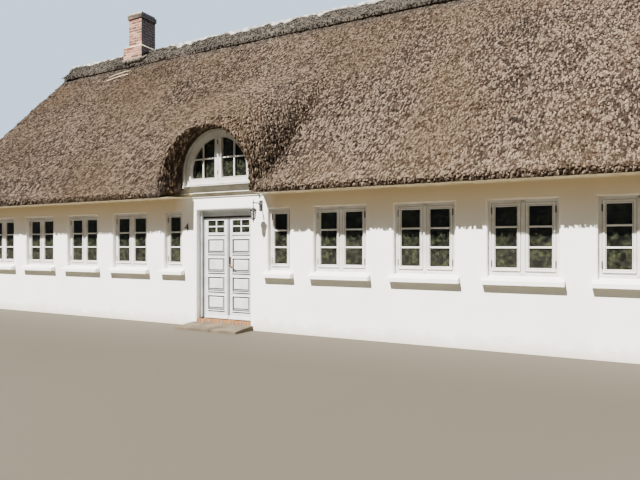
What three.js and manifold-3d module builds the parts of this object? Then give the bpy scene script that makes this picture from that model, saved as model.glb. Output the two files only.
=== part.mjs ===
// A long thatched farm cottage with whitewashed walls, half-hipped ends and an arched dormer over the
// double door. Millimetres, +Z up. The front looks along -Y, and the origin is on the ground under
// the middle of the house.
import * as THREE from 'three';
import { mergeVertices } from 'three/addons/utils/BufferGeometryUtils.js';
import Module from 'manifold-3d';

const wasm = await Module();
wasm.setup();

// Walls
const HALF_LENGTH = 9700;
const HALF_DEPTH = 3500;
const WALL = 350;
const SEAT_GAP = 0.3;
const FLOOR_TOP = 100;
const ATTIC_FLOOR_UNDER = 2640;
const ATTIC_FLOOR_TOP = 2840;

// Thatch: a straight slope from the eave to the ridge, cut level under the eave
const OVERHANG = 660;
const EAVE_TOP = 2800;
const EAVE_CUT = 2765;
const SLOPE = 1.2;
const THATCH_DEPTH = 515;
const VERGE = 9950;
const HIP_TOP_X = 9300;
const HIP_TOP_Z = 7500;
const HIP_SLOPE = 4.2;
const HIP_THICKNESS = 345;
const HIP_CUT = 4550;
const ROOF_LIMIT = 9000;

// Hood of thatch over the dormer, and the arch that is cut through it
const HOOD_HALF_WIDTH = 1370;
const HOOD_SPREAD = 0.22;
const HOOD_FRONT_TOP = 4265;
const HOOD_PITCH = 0.62;
const HOOD_POWER = 2.3;
const HOOD_FOOT_DROP = 60;
const HOOD_BLEND = 140;
const RIM_HALF_WIDTH = 1215;
const RIM_TOP = 4205;
const RIM_POWER = 2.2;
const ARCH_CENTRE = 3300;
const DORMER_RADIUS = 1020;
const LINING_RADIUS = 912;
const FRAME_RADIUS = 872;
const LINING_FACE = HALF_DEPTH + 235;
const DORMER_FACE = HALF_DEPTH + 160;
const DORMER_BACK = HALF_DEPTH - 250;
const DORMER_HOLE_RADIUS = FRAME_RADIUS - 40;
const DORMER_LIGHT_RADIUS = 735;
const DORMER_RAIL = 145;
const DORMER_SILL_TOP = 3040;
const DORMER_SILL_UNDER = 2980;
const DORMER_SILL_FACE = HALF_DEPTH + 205;
const DORMER_SILL_FALL = 15;
const DORMER_TUNNEL_LENGTH = 2600;
const FLARE_GAP = 6;

// Ridge and chimney
const RIDGE_END = 9180;
const RIDGE_HALF_WIDTH = 400;
const RIDGE_THICKNESS = 95;
const RIDGE_LIP = 25;
const STRIP_HALF_WIDTH = 60;
const STRIP_THICKNESS = 24;
const CHIMNEY_X = -5960;
const CHIMNEY_HALF_X = 290;
const CHIMNEY_HALF_Y = 300;
const CHIMNEY_TOP = 9060;
const CHIMNEY_CAP_HEIGHT = 210;
const CHIMNEY_CAP_LIP = 45;
const CHIMNEY_PLINTH_TOP = 8270;
const CHIMNEY_LIP = 70;
const CHIMNEY_CLEARANCE = 5;
const FLUE_HALF = 130;
const FLUE_DEPTH = 900;

// Windows: head and foot of every opening, and the sloped sill that is part of the wall
const WINDOW_HEAD = 2500;
const WINDOW_FOOT = 1250;
const WIDE = 1100;
const NARROW = 512;
const FIRST_NARROW = 1146;
const PIER = 549;
const WIDE_PER_SIDE = 4;
const REVEAL = 85;
const FRAME_DEPTH = 70;
const FRAME_BAR = 104;
const MULLION = 176;
const SILL_OUT = 125;
const SILL_EAR = 85;
const SILL_FALL = 78;
const SILL_THICKNESS = 65;
const SILL_TAIL = 20;
const GLASS = 8;
const GLASS_LAP = 40;
const BACK_WINDOWS_X = [-6900, -2500, 2500, 6900];
const ATTIC_WINDOW_HEAD = 4150;
const ATTIC_WINDOW_FOOT = 3250;
const ATTIC_WINDOW_WIDTH = 1000;

// Wall over the door, and the board that beds the thatch on the long walls
const LINTEL_HALF_LENGTH = 1050;
const LINTEL_TOP = 2960;
const EAVE_BOARD_OUT = 55;
const EAVE_BOARD_FOOT = 2805;

// Double door: two leaves in a frame, each hung on three hinges at its inner face
const DOOR_HALF_WIDTH = 716;
const DOOR_HEAD = 2520;
const LEAF_OUTER = 650;
const LEAF_GAP = 4;
const LEAF_FOOT = 158;
const LEAF_HEAD = 2345;
const LEAF_FACE = -HALF_DEPTH + 200;
const LEAF_BACK = LEAF_FACE + 44;
const PANEL_SINK = 12;
const OUTER_STILE = 91;
const MEETING_STILE = 102;
const LIGHT_BELOW_HEAD = [41, 318];
const PANELS_BELOW_HEAD = [[450, 774], [865, 1179], [1274, 1588], [1679, 2000]];
const LEAF_CLEARANCE = 6;
const STOP_LAP = 15;
const JAMB_FACE = -HALF_DEPTH + 120;
const THRESHOLD_TOP = 150;
const HINGE_X = 655;
const HINGE_Y = LEAF_BACK + 11;
const HINGE_RADIUS = 9;
const HINGE_HEIGHT = 50;
const HINGE_FLAP = 45;
const HINGE_LEVELS = [380, 1250, 2060];

// Handle on the right leaf: a narrow plate and a lever that hangs in a slight curve
const HANDLE_X = 46;
const HANDLE_PLATE = [1300, 1510];
const HANDLE_PLATE_HALF = 18;
const LEVER_Z = 1335;
const LEVER_OUT = 52;
const LEVER_REACH = 128;
const LEVER_DROP = 62;
const LEVER_RADIUS = 8;

// Step and wall lamp: a plate, an arm, and a stem that carries the lantern
const STEP_HALF_WIDTH = 780;
const STEP_OUT = 600;
const STEP_TOP = 55;
const LAMP_X = 980;
const LAMP_PLATE = [2461, 2675];
const LAMP_PLATE_HALF = 32;
const LAMP_PLATE_THICKNESS = 14;
const LAMP_ARM_Z = 2608;
const LAMP_OUT = 270;
const LAMP_STEM_TOP = 2687;
const LANTERN_TOP = 2520;

const paint = (color, roughness = 0.8, metalness = 0) => new THREE.MeshStandardMaterial({
  color, roughness, metalness, flatShading: true,
});
const limewash = paint('#efece2', 0.95);
const thatch = paint('#8d7864', 1);
const ridgeStraw = paint('#6f6254', 1);
const ridgeMortar = paint('#b9b6ae', 0.9);
const brick = paint('#9b5a48', 0.9);
const boards = paint('#b59a74', 0.8);
const stone = paint('#b3a58f', 0.9);
const greyPaint = paint('#c9c9c6', 0.5);
const framePaint = paint('#d9d8d0', 0.5);
const creamPaint = paint('#d8cfb4', 0.6);
const pane = paint('#2e3a35', 0.1);
const brass = paint('#a98e55', 0.35, 1);
const iron = paint('#2b2c2c', 0.5, 0.6);

const cottage = new THREE.Group();

function add(name, geometry, material, parent = cottage) {
  const mesh = new THREE.Mesh(geometry, material);
  mesh.name = name;
  parent.add(mesh);
  return mesh;
}

function block(x0, x1, y0, y1, z0, z1) {
  const box = new THREE.BoxGeometry(x1 - x0, y1 - y0, z1 - z0);
  return box.translate((x0 + x1) / 2, (y0 + y1) / 2, (z0 + z1) / 2);
}

function outlineOf(points) {
  return new THREE.Shape(points.map(([u, v]) => new THREE.Vector2(u, v)));
}

// A (y, z) outline carried along X
function alongX(points, x0, x1) {
  const shape = outlineOf(points);
  const prism = new THREE.ExtrudeGeometry(shape, { depth: x1 - x0, bevelEnabled: false });
  const turn = new THREE.Matrix4().set(0, 0, 1, x0, 1, 0, 0, 0, 0, 1, 0, 0, 0, 0, 0, 1);
  return prism.applyMatrix4(turn);
}

// An (x, z) outline carried along Y
function alongY(points, y0, y1, holes = []) {
  const prism = new THREE.ExtrudeGeometry(outlineOf(points), { depth: y1 - y0, bevelEnabled: false });
  const turn = new THREE.Matrix4().set(1, 0, 0, 0, 0, 0, -1, y1, 0, 1, 0, 0, 0, 0, 0, 1);
  const whole = prism.applyMatrix4(turn);
  return holes.length ? cut(whole, holes.map((hole) => alongY(hole, y0 - 10, y1 + 10))) : whole;
}

function rectangle(u0, u1, v0, v1) {
  return [[u0, v0], [u1, v0], [u1, v1], [u0, v1]];
}

function solidOf(geometry) {
  const bare = geometry.clone();
  bare.deleteAttribute('normal');
  bare.deleteAttribute('uv');
  const merged = mergeVertices(bare, 0.001);
  const mesh = new wasm.Mesh({
    numProp: 3,
    vertProperties: new Float32Array(merged.attributes.position.array),
    triVerts: new Uint32Array(merged.index.array),
  });
  return new wasm.Manifold(mesh);
}

function geometryOf(solid) {
  const mesh = solid.getMesh();
  const geometry = new THREE.BufferGeometry();
  geometry.setAttribute('position', new THREE.BufferAttribute(new Float32Array(mesh.vertProperties), 3));
  geometry.setIndex(new THREE.BufferAttribute(new Uint32Array(mesh.triVerts), 1));
  geometry.computeVertexNormals();
  return geometry;
}

function cut(geometry, cutters) {
  return geometryOf(cutters.reduce((left, cutter) => left.subtract(solidOf(cutter)), solidOf(geometry)));
}

function join(geometries) {
  return geometryOf(geometries.map(solidOf).reduce((whole, piece) => whole.add(piece)));
}

// Height of the plain thatch above a point y
function slopeZ(y) {
  return EAVE_TOP + SLOPE * (HALF_DEPTH + OVERHANG - Math.abs(y));
}

function smoothMax(a, b, radius) {
  const near = Math.max(radius - Math.abs(a - b), 0) / radius;
  return Math.max(a, b) + near * near * radius * 0.25;
}

// Height of the thatch with its hood at a point in front of the ridge
function roofZ(x, y) {
  const plain = slopeZ(y);
  const back = HALF_DEPTH + OVERHANG + y;
  const crown = HOOD_FRONT_TOP + HOOD_PITCH * back;
  const across = Math.abs(x) / (HOOD_HALF_WIDTH + HOOD_SPREAD * back);
  if (y > 0 || crown <= plain || across >= 1) {
    return plain;
  }
  const foot = plain - HOOD_FOOT_DROP;
  const hood = foot + (crown - foot) * Math.pow(1 - Math.pow(across, HOOD_POWER), 1 / HOOD_POWER);
  const blend = HOOD_BLEND * Math.min(1, (1 - across) * 6);
  return blend > 1 ? smoothMax(plain, hood, blend) : Math.max(plain, hood);
}

function mirrored(values) {
  return [...values.map((v) => -v).reverse(), 0, ...values];
}

// The thatch from its outer surface down to the level of the eave cut
function thatchBlock() {
  const hoodLines = [180, 360, 540, 700, 840, 960, 1060, 1140, 1200, 1250, 1295, 1335, 1370, 1430, 1500,
    1590, 1690, 1800, 1930, 2100];
  const xs = [-VERGE, ...mirrored(hoodLines), VERGE];
  const hoodSteps = [0, 90, 220, 380, 560, 760, 980, 1220, 1480, 1760, 2060, 2300, 2520, 2700];
  const eave = HALF_DEPTH + OVERHANG;
  const ys = [...hoodSteps.map((step) => step - eave), 0, eave];
  const positions = [];
  const faces = [];
  const columns = ys.length;
  for (const level of ['top', 'cut']) {
    for (const x of xs) {
      for (const y of ys) {
        positions.push(x, y, level === 'top' ? roofZ(x, y) : EAVE_CUT);
      }
    }
  }
  const under = xs.length * columns;
  const at = (i, j) => i * columns + j;
  const quad = (a, b, c, d) => faces.push(a, b, c, a, c, d);
  for (let i = 0; i + 1 < xs.length; i += 1) {
    for (let j = 0; j + 1 < columns; j += 1) {
      quad(at(i, j), at(i + 1, j), at(i + 1, j + 1), at(i, j + 1));
      quad(under + at(i, j), under + at(i, j + 1), under + at(i + 1, j + 1), under + at(i + 1, j));
    }
    const last = columns - 1;
    quad(under + at(i, 0), under + at(i + 1, 0), at(i + 1, 0), at(i, 0));
    quad(at(i, last), at(i + 1, last), under + at(i + 1, last), under + at(i, last));
  }
  const end = xs.length - 1;
  for (let j = 0; j + 1 < columns; j += 1) {
    quad(at(0, j), at(0, j + 1), under + at(0, j + 1), under + at(0, j));
    quad(under + at(end, j), under + at(end, j + 1), at(end, j + 1), at(end, j));
  }
  const geometry = new THREE.BufferGeometry();
  geometry.setAttribute('position', new THREE.BufferAttribute(new Float32Array(positions), 3));
  geometry.setIndex(faces);
  return geometry;
}

// Outline of the hips seen from the front, moved in by an amount
function hipOutline(inward, foot) {
  const atHeight = (z) => HIP_TOP_X - inward - (z - HIP_TOP_Z) / HIP_SLOPE;
  return [[-atHeight(foot), foot], [atHeight(foot), foot], [atHeight(ROOF_LIMIT), ROOF_LIMIT],
    [-atHeight(ROOF_LIMIT), ROOF_LIMIT]];
}

// Outline under the thatch seen from the side, up to a level
function underOutline(level) {
  const eave = HALF_DEPTH + OVERHANG;
  const low = EAVE_CUT - 600;
  const yAt = (z) => eave - (z - EAVE_TOP + THATCH_DEPTH) / SLOPE;
  const apex = EAVE_TOP - THATCH_DEPTH + SLOPE * eave;
  if (level >= apex) {
    return [[-yAt(low), low], [yAt(low), low], [0, apex]];
  }
  return [[-yAt(low), low], [yAt(low), low], [yAt(level), level], [-yAt(level), level]];
}

// An arch of a superellipse on straight legs, as (x, z) points
function archPoints(halfWidth, centre, top, power, foot, steps = 28) {
  const points = [];
  for (let i = 0; i <= steps; i += 1) {
    const angle = (Math.PI * i) / steps;
    const c = Math.cos(angle);
    const s = Math.sin(angle);
    const x = Math.sign(c) * Math.pow(Math.abs(c), 2 / power) * halfWidth;
    points.push([x, centre + Math.pow(s, 2 / power) * (top - centre)]);
  }
  points.push([-halfWidth, foot], [halfWidth, foot]);
  return points;
}

// A solid between two rings of (x, z) points on two planes of y
function loft(front, yFront, back, yBack) {
  const positions = [];
  for (const [x, z] of front) {
    positions.push(x, yFront, z);
  }
  for (const [x, z] of back) {
    positions.push(x, yBack, z);
  }
  const count = front.length;
  const faces = [];
  for (let i = 0; i < count; i += 1) {
    const next = (i + 1) % count;
    faces.push(i, count + i, next, next, count + i, count + next);
  }
  const flat = (ring) => THREE.ShapeUtils.triangulateShape(ring.map(([x, z]) => new THREE.Vector2(x, z)), []);
  for (const [a, b, c] of flat(front)) {
    faces.push(a, b, c);
  }
  for (const [a, b, c] of flat(back)) {
    faces.push(count + a, count + c, count + b);
  }
  const geometry = new THREE.BufferGeometry();
  geometry.setAttribute('position', new THREE.BufferAttribute(new Float32Array(positions), 3));
  geometry.setIndex(faces);
  return geometry;
}

function chimneyShaft(clearance) {
  const x = CHIMNEY_HALF_X + clearance;
  const y = CHIMNEY_HALF_Y + clearance;
  return block(CHIMNEY_X - x, CHIMNEY_X + x, -y, y, FLOOR_TOP + SEAT_GAP, CHIMNEY_TOP);
}

function makeThatch() {
  const eave = HALF_DEPTH + OVERHANG;
  const hips = alongY(hipOutline(0, EAVE_CUT - 900), -eave - 100, eave + 100);
  const lowVoid = alongX(underOutline(HIP_CUT), -VERGE - 200, VERGE + 200);
  const highVoid = solidOf(alongX(underOutline(ROOF_LIMIT), -VERGE - 200, VERGE + 200))
    .intersect(solidOf(alongY(hipOutline(HIP_THICKNESS, HIP_CUT - 5), -eave, eave)));
  const rim = archPoints(RIM_HALF_WIDTH, EAVE_TOP, RIM_TOP, RIM_POWER, EAVE_CUT - 100);
  const throat = FRAME_RADIUS + FLARE_GAP;
  const back = archPoints(throat, ARCH_CENTRE, ARCH_CENTRE + throat, 2, EAVE_CUT - 100);
  const flare = loft(rim, -eave - 20, back, -LINING_FACE - SEAT_GAP);
  const bore = (radius, y0, y1) => {
    const r = radius + SEAT_GAP;
    return alongY(archPoints(r, ARCH_CENTRE, ARCH_CENTRE + r, 2, EAVE_CUT - 200), y0, y1);
  };
  const collar = bore(LINING_RADIUS, -LINING_FACE - SEAT_GAP, -HALF_DEPTH + 10);
  const tunnel = bore(DORMER_RADIUS, -HALF_DEPTH, -HALF_DEPTH + DORMER_TUNNEL_LENGTH);
  const whole = solidOf(thatchBlock())
    .intersect(solidOf(hips))
    .subtract(solidOf(lowVoid))
    .subtract(highVoid)
    .subtract(solidOf(flare))
    .subtract(solidOf(collar))
    .subtract(solidOf(tunnel))
    .subtract(solidOf(chimneyShaft(CHIMNEY_CLEARANCE)));
  const half = (y0, y1) => solidOf(block(-VERGE - 50, VERGE + 50, y0, y1, EAVE_CUT - 50, ROOF_LIMIT));
  add('thatch_front', geometryOf(whole.intersect(half(-eave - 50, -SEAT_GAP / 2))), thatch);
  add('thatch_back', geometryOf(whole.intersect(half(SEAT_GAP / 2, eave + 50))), thatch);
}

// A straw saddle that follows both slopes over the top
function makeRidge() {
  const apex = slopeZ(0);
  const w = RIDGE_HALF_WIDTH;
  const t = RIDGE_THICKNESS;
  const foot = apex - SLOPE * w;
  const flat = STRIP_HALF_WIDTH;
  const half = [[flat, apex + t], [150, apex + t - 90], [w - 40, foot + t + 60], [w + RIDGE_LIP, foot + 30],
    [w, foot + 1]];
  const other = half.map(([y, z]) => [-y, z]).reverse();
  const ridge = alongX([[0, apex + 1], ...other, ...half], -RIDGE_END, RIDGE_END);
  const clearance = CHIMNEY_LIP + CHIMNEY_CLEARANCE;
  add('ridge_roll', cut(ridge, [chimneyShaft(clearance)]), ridgeStraw);
  const top = apex + t + SEAT_GAP;
  const strip = rectangle(-flat, flat, top, top + STRIP_THICKNESS);
  const end = RIDGE_END - STRIP_HALF_WIDTH;
  const beside = CHIMNEY_HALF_X + clearance;
  add('ridge_strip_left', alongX(strip, -end, CHIMNEY_X - beside), ridgeMortar);
  add('ridge_strip_right', alongX(strip, CHIMNEY_X + beside, end), ridgeMortar);
}

function makeChimney() {
  const lipX = CHIMNEY_HALF_X + CHIMNEY_LIP;
  const lipY = CHIMNEY_HALF_Y + CHIMNEY_LIP;
  const capX = CHIMNEY_HALF_X + CHIMNEY_CAP_LIP;
  const capY = CHIMNEY_HALF_Y + CHIMNEY_CAP_LIP;
  const apex = slopeZ(0);
  const plinth = block(CHIMNEY_X - lipX, CHIMNEY_X + lipX, -lipY, lipY, apex + 2, CHIMNEY_PLINTH_TOP);
  const capFoot = CHIMNEY_TOP - CHIMNEY_CAP_HEIGHT;
  const cap = block(CHIMNEY_X - capX, CHIMNEY_X + capX, -capY, capY, capFoot, CHIMNEY_TOP);
  const r = FLUE_HALF;
  const flue = block(CHIMNEY_X - r, CHIMNEY_X + r, -r, r, CHIMNEY_TOP - FLUE_DEPTH, CHIMNEY_TOP + 50);
  const stack = join([chimneyShaft(0), plinth, cap]);
  add('chimney', cut(stack, [flue]), brick);
}

// Window places along the front: centre and width of each opening
function frontWindows() {
  const places = [];
  for (const side of [-1, 1]) {
    places.push({ x: side * (FIRST_NARROW + NARROW / 2), width: NARROW });
    for (let i = 0; i < WIDE_PER_SIDE; i += 1) {
      const near = FIRST_NARROW + NARROW + PIER + i * (WIDE + PIER);
      places.push({ x: side * (near + WIDE / 2), width: WIDE });
    }
  }
  return places.sort((a, b) => a.x - b.x);
}

// A sill with a sloped top, as wide as the opening and two ears, for a wall whose outside looks along -Y
function sillFor(x, width, foot) {
  const half = width / 2 + SILL_EAR;
  const front = -HALF_DEPTH - SILL_OUT;
  const tail = -HALF_DEPTH + SILL_TAIL;
  const under = foot - SILL_FALL - SILL_THICKNESS;
  const rise = SILL_FALL * (1 - (SILL_OUT + SILL_TAIL) / (SILL_OUT + REVEAL));
  const profile = [[front, under], [tail, under], [tail, foot - rise], [front, foot - SILL_FALL]];
  return alongX(profile, x - half, x + half);
}

function windowHole(x, width, foot, head) {
  const outer = -HALF_DEPTH - SILL_OUT - 50;
  return block(x - width / 2, x + width / 2, outer, -HALF_DEPTH + WALL + 50, foot, head);
}

// Wall profile whose top lies under the thatch
function wallProfile() {
  const rise = (y) => slopeZ(y) - THATCH_DEPTH - SEAT_GAP;
  const inner = -HALF_DEPTH + WALL;
  return [[-HALF_DEPTH, 0], [inner, 0], [inner, rise(inner)], [-HALF_DEPTH, rise(-HALF_DEPTH)]];
}

// The slope of the reveal's foot, so that rain runs out over the sill
function revealWedge(x, width, foot) {
  const outer = -HALF_DEPTH - SILL_OUT;
  const inner = -HALF_DEPTH + REVEAL;
  const past = 10;
  const low = foot - SILL_FALL * (inner - outer + past) / (inner - outer);
  const outline = [[outer - past, foot + 40], [outer - past, low], [inner, foot], [inner, foot + 40]];
  return alongX(outline, x - width / 2, x + width / 2);
}

function wallWithWindows(x0, x1, places) {
  const parts = [alongX(wallProfile(), x0, x1)];
  const cutters = [];
  for (const { x, width } of places) {
    parts.push(sillFor(x, width, WINDOW_FOOT));
    cutters.push(windowHole(x, width, WINDOW_FOOT, WINDOW_HEAD));
    cutters.push(revealWedge(x, width, WINDOW_FOOT));
  }
  return cut(join(parts), cutters);
}

// A painted frame with its fixed bar between two sashes when it is wide
function windowFrame(width, foot, head) {
  const half = width / 2 - SEAT_GAP;
  const low = foot + SEAT_GAP;
  const high = head - SEAT_GAP;
  const inside = (u0, u1) => rectangle(u0, u1, low + FRAME_BAR, high - FRAME_BAR);
  const holes = width > 800
    ? [inside(-half + FRAME_BAR, -MULLION / 2), inside(MULLION / 2, half - FRAME_BAR)]
    : [inside(-half + FRAME_BAR, half - FRAME_BAR)];
  const face = -HALF_DEPTH + REVEAL;
  return alongY(rectangle(-half, half, low, high), face, face + FRAME_DEPTH, holes);
}

// A sheet of glass behind a wall, lapping over the openings that lie between two places
function glassSheet(x0, x1, foot, head) {
  const inner = -HALF_DEPTH + WALL + SEAT_GAP;
  return block(x0 - GLASS_LAP, x1 + GLASS_LAP, inner, inner + GLASS, foot - GLASS_LAP, head + GLASS_LAP);
}

function makeFrontWalls() {
  const places = frontWindows();
  const lintel = LINTEL_HALF_LENGTH;
  const lintelSeat = block(-lintel, lintel, -HALF_DEPTH - 20, -HALF_DEPTH + WALL + 20, DOOR_HEAD, ROOF_LIMIT);
  const left = wallWithWindows(-HALF_LENGTH, -DOOR_HALF_WIDTH, places.filter(({ x }) => x < 0));
  const right = wallWithWindows(DOOR_HALF_WIDTH, HALF_LENGTH, places.filter(({ x }) => x > 0));
  add('front_wall_left', cut(left, [lintelSeat]), limewash);
  add('front_wall_right', cut(right, [lintelSeat]), limewash);
  const reach = lintel - SEAT_GAP;
  const over = block(-reach, reach, -HALF_DEPTH, -HALF_DEPTH + WALL, DOOR_HEAD + SEAT_GAP, LINTEL_TOP);
  add('front_wall_over_door', over, limewash);
  places.forEach(({ x, width }, index) => {
    const frame = windowFrame(width, WINDOW_FOOT, WINDOW_HEAD);
    add(`front_window_${index + 1}`, frame, framePaint).position.x = x;
  });
  const edge = places[0].x - WIDE / 2;
  add('front_glass_left', glassSheet(edge, -FIRST_NARROW, WINDOW_FOOT, WINDOW_HEAD), pane);
  add('front_glass_right', glassSheet(FIRST_NARROW, -edge, WINDOW_FOOT, WINDOW_HEAD), pane);
}

function makeBackWall() {
  const turned = new THREE.Group();
  turned.rotation.z = Math.PI;
  cottage.add(turned);
  const places = BACK_WINDOWS_X.map((x) => ({ x, width: WIDE }));
  add('back_wall', wallWithWindows(-HALF_LENGTH, HALF_LENGTH, places), limewash, turned);
  places.forEach(({ x }, index) => {
    const frame = windowFrame(WIDE, WINDOW_FOOT, WINDOW_HEAD);
    add(`back_window_${index + 1}`, frame, framePaint, turned).position.x = x;
  });
  const edge = BACK_WINDOWS_X[0] - WIDE / 2;
  add('back_glass', glassSheet(edge, -edge, WINDOW_FOOT, WINDOW_HEAD), pane, turned);
}

// A gable wall is built as a wall that looks along -Y and then turned to its end of the house
function makeGable(side, turn) {
  const gable = new THREE.Group();
  gable.rotation.z = turn;
  gable.position.x = side === 'left' ? HALF_DEPTH - HALF_LENGTH : HALF_LENGTH - HALF_DEPTH;
  cottage.add(gable);
  const reach = HALF_DEPTH - WALL - SEAT_GAP;
  const rise = (u) => slopeZ(u) - THATCH_DEPTH - 2 * SEAT_GAP;
  const flat = HIP_CUT - SEAT_GAP;
  const shoulder = HALF_DEPTH + OVERHANG - (flat - EAVE_TOP + THATCH_DEPTH + 2 * SEAT_GAP) / SLOPE;
  const outline = [[-reach, 0], [reach, 0], [reach, rise(reach)], [shoulder, flat], [-shoulder, flat],
    [-reach, rise(reach)]];
  const wall = alongY(outline, -HALF_DEPTH, -HALF_DEPTH + WALL);
  const attic = ATTIC_WINDOW_WIDTH;
  const parts = [wall, sillFor(0, WIDE, WINDOW_FOOT), sillFor(0, attic, ATTIC_WINDOW_FOOT)];
  const cutters = [windowHole(0, WIDE, WINDOW_FOOT, WINDOW_HEAD), revealWedge(0, WIDE, WINDOW_FOOT),
    windowHole(0, attic, ATTIC_WINDOW_FOOT, ATTIC_WINDOW_HEAD), revealWedge(0, attic, ATTIC_WINDOW_FOOT)];
  add(`${side}_gable_wall`, cut(join(parts), cutters), limewash, gable);
  add(`${side}_gable_window`, windowFrame(WIDE, WINDOW_FOOT, WINDOW_HEAD), framePaint, gable);
  add(`${side}_attic_window`, windowFrame(attic, ATTIC_WINDOW_FOOT, ATTIC_WINDOW_HEAD), framePaint, gable);
  add(`${side}_gable_glass`, glassSheet(-WIDE / 2, WIDE / 2, WINDOW_FOOT, WINDOW_HEAD), pane, gable);
  const highGlass = glassSheet(-attic / 2, attic / 2, ATTIC_WINDOW_FOOT, ATTIC_WINDOW_HEAD);
  add(`${side}_attic_glass`, highGlass, pane, gable);
}

function makeFloors() {
  const x = HALF_LENGTH - WALL - SEAT_GAP;
  const y = HALF_DEPTH - WALL - SEAT_GAP;
  add('ground_floor', block(-x, x, -y, y, 0, FLOOR_TOP), boards);
  const attic = block(-x, x, -y, y, ATTIC_FLOOR_UNDER, ATTIC_FLOOR_TOP);
  add('attic_floor', cut(attic, [chimneyShaft(SEAT_GAP)]), boards);
}

// A painted board that beds the thatch on the head of each long wall
function makeEaveBoards() {
  const outer = HALF_DEPTH + EAVE_BOARD_OUT;
  const foot = EAVE_BOARD_FOOT;
  const head = (y) => slopeZ(y) - THATCH_DEPTH - SEAT_GAP;
  const face = -HALF_DEPTH - SEAT_GAP;
  const profile = [[-outer, foot], [face, foot], [face, head(face)], [-outer, head(-outer)]];
  const front = alongX(profile, -HALF_LENGTH, HALF_LENGTH);
  const back = alongX(profile, -HALF_LENGTH, HALF_LENGTH).rotateZ(Math.PI);
  const reach = DORMER_RADIUS + 5;
  const underSill = block(-reach, reach, -outer - 10, 0, DORMER_SILL_UNDER - SEAT_GAP, ROOF_LIMIT);
  add('front_eave_board', cut(front, [underSill]), creamPaint);
  add('back_eave_board', back, creamPaint);
}

// A round-headed outline of a radius on legs that stand at a foot
function dormerArch(radius, foot) {
  return archPoints(radius, ARCH_CENTRE, ARCH_CENTRE + radius, 2, foot);
}

function makeDormer() {
  const hole = dormerArch(DORMER_HOLE_RADIUS, DORMER_SILL_TOP);
  const wall = dormerArch(DORMER_RADIUS, LINTEL_TOP + SEAT_GAP);
  add('dormer_wall', alongY(wall, -HALF_DEPTH + SEAT_GAP, -DORMER_BACK, [hole]), limewash);
  const lining = dormerArch(LINING_RADIUS, DORMER_SILL_UNDER);
  const inside = dormerArch(FRAME_RADIUS, DORMER_SILL_UNDER - 50);
  add('dormer_lining', alongY(lining, -LINING_FACE, -HALF_DEPTH, [inside]), framePaint);
  const rim = FRAME_RADIUS - SEAT_GAP;
  const lightFoot = DORMER_SILL_TOP + DORMER_RAIL;
  const light = dormerArch(DORMER_LIGHT_RADIUS, lightFoot);
  const bar = MULLION / 2;
  const half = (sign) => {
    const arc = light.filter(([x]) => x * sign > bar);
    const top = ARCH_CENTRE + Math.sqrt(DORMER_LIGHT_RADIUS * DORMER_LIGHT_RADIUS - bar * bar);
    const corners = [[sign * bar, top], [sign * bar, lightFoot]];
    return sign > 0 ? [arc[arc.length - 1], ...arc.slice(0, -1), ...corners] : [...arc, ...corners.reverse()];
  };
  const ring = dormerArch(rim, DORMER_SILL_TOP + SEAT_GAP);
  const back = -DORMER_FACE + FRAME_DEPTH;
  add('dormer_window', alongY(ring, -DORMER_FACE, back, [half(1), half(-1)]), framePaint);
  add('dormer_glass', alongY(ring, back + SEAT_GAP, back + SEAT_GAP + GLASS), pane);
  const sill = [[-DORMER_SILL_FACE, DORMER_SILL_UNDER], [-HALF_DEPTH, DORMER_SILL_UNDER],
    [-HALF_DEPTH, DORMER_SILL_TOP], [-DORMER_FACE, DORMER_SILL_TOP],
    [-DORMER_SILL_FACE, DORMER_SILL_TOP - DORMER_SILL_FALL]];
  add('dormer_sill', alongX(sill, -rim, rim), framePaint);
}

function cylinderZ(x, y, radius, z0, z1, sides = 16) {
  const rod = new THREE.CylinderGeometry(radius, radius, z1 - z0, sides);
  return rod.rotateX(Math.PI / 2).translate(x, y, (z0 + z1) / 2);
}

// Half of a hinge: a knuckle with its flap towards the leaf (reach > 0) or the jamb (reach < 0)
function hingeHalf(side, reach, z0, z1) {
  const x = side * HINGE_X;
  const end = x - side * reach;
  const flap = block(Math.min(x, end), Math.max(x, end), LEAF_BACK - 0.5, HINGE_Y - 5, z0, z1);
  return [cylinderZ(x, HINGE_Y, HINGE_RADIUS, z0, z1), flap];
}

function makeDoorLeaf(name, side) {
  const outer = side * LEAF_OUTER;
  const inner = side * LEAF_GAP;
  const span = (a, b) => [Math.min(a, b), Math.max(a, b)];
  const [x0, x1] = span(outer, inner);
  const [u0, u1] = span(outer - side * OUTER_STILE, inner + side * MEETING_STILE);
  const hinges = HINGE_LEVELS.flatMap((z) => hingeHalf(side, HINGE_FLAP, z, z + HINGE_HEIGHT));
  const board = block(x0, x1, LEAF_FACE, LEAF_BACK, LEAF_FOOT, LEAF_HEAD);
  const [lightTop, lightFoot] = LIGHT_BELOW_HEAD.map((drop) => LEAF_HEAD - drop);
  const light = block(u0, u1, LEAF_FACE - 10, LEAF_BACK + 10, lightFoot, lightTop);
  const panels = PANELS_BELOW_HEAD.map(([top, foot]) => (
    block(u0, u1, LEAF_FACE - 10, LEAF_FACE + PANEL_SINK, LEAF_HEAD - foot, LEAF_HEAD - top)));
  add(`door_leaf_${name}`, cut(join([board, ...hinges]), [light, ...panels]), greyPaint);
  const middle = (LEAF_FACE + LEAF_BACK) / 2;
  const g = SEAT_GAP;
  add(`leaf_glass_${name}`, block(u0 + g, u1 - g, middle - 3, middle + 3, lightFoot + g, lightTop - g), pane);
}

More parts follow.
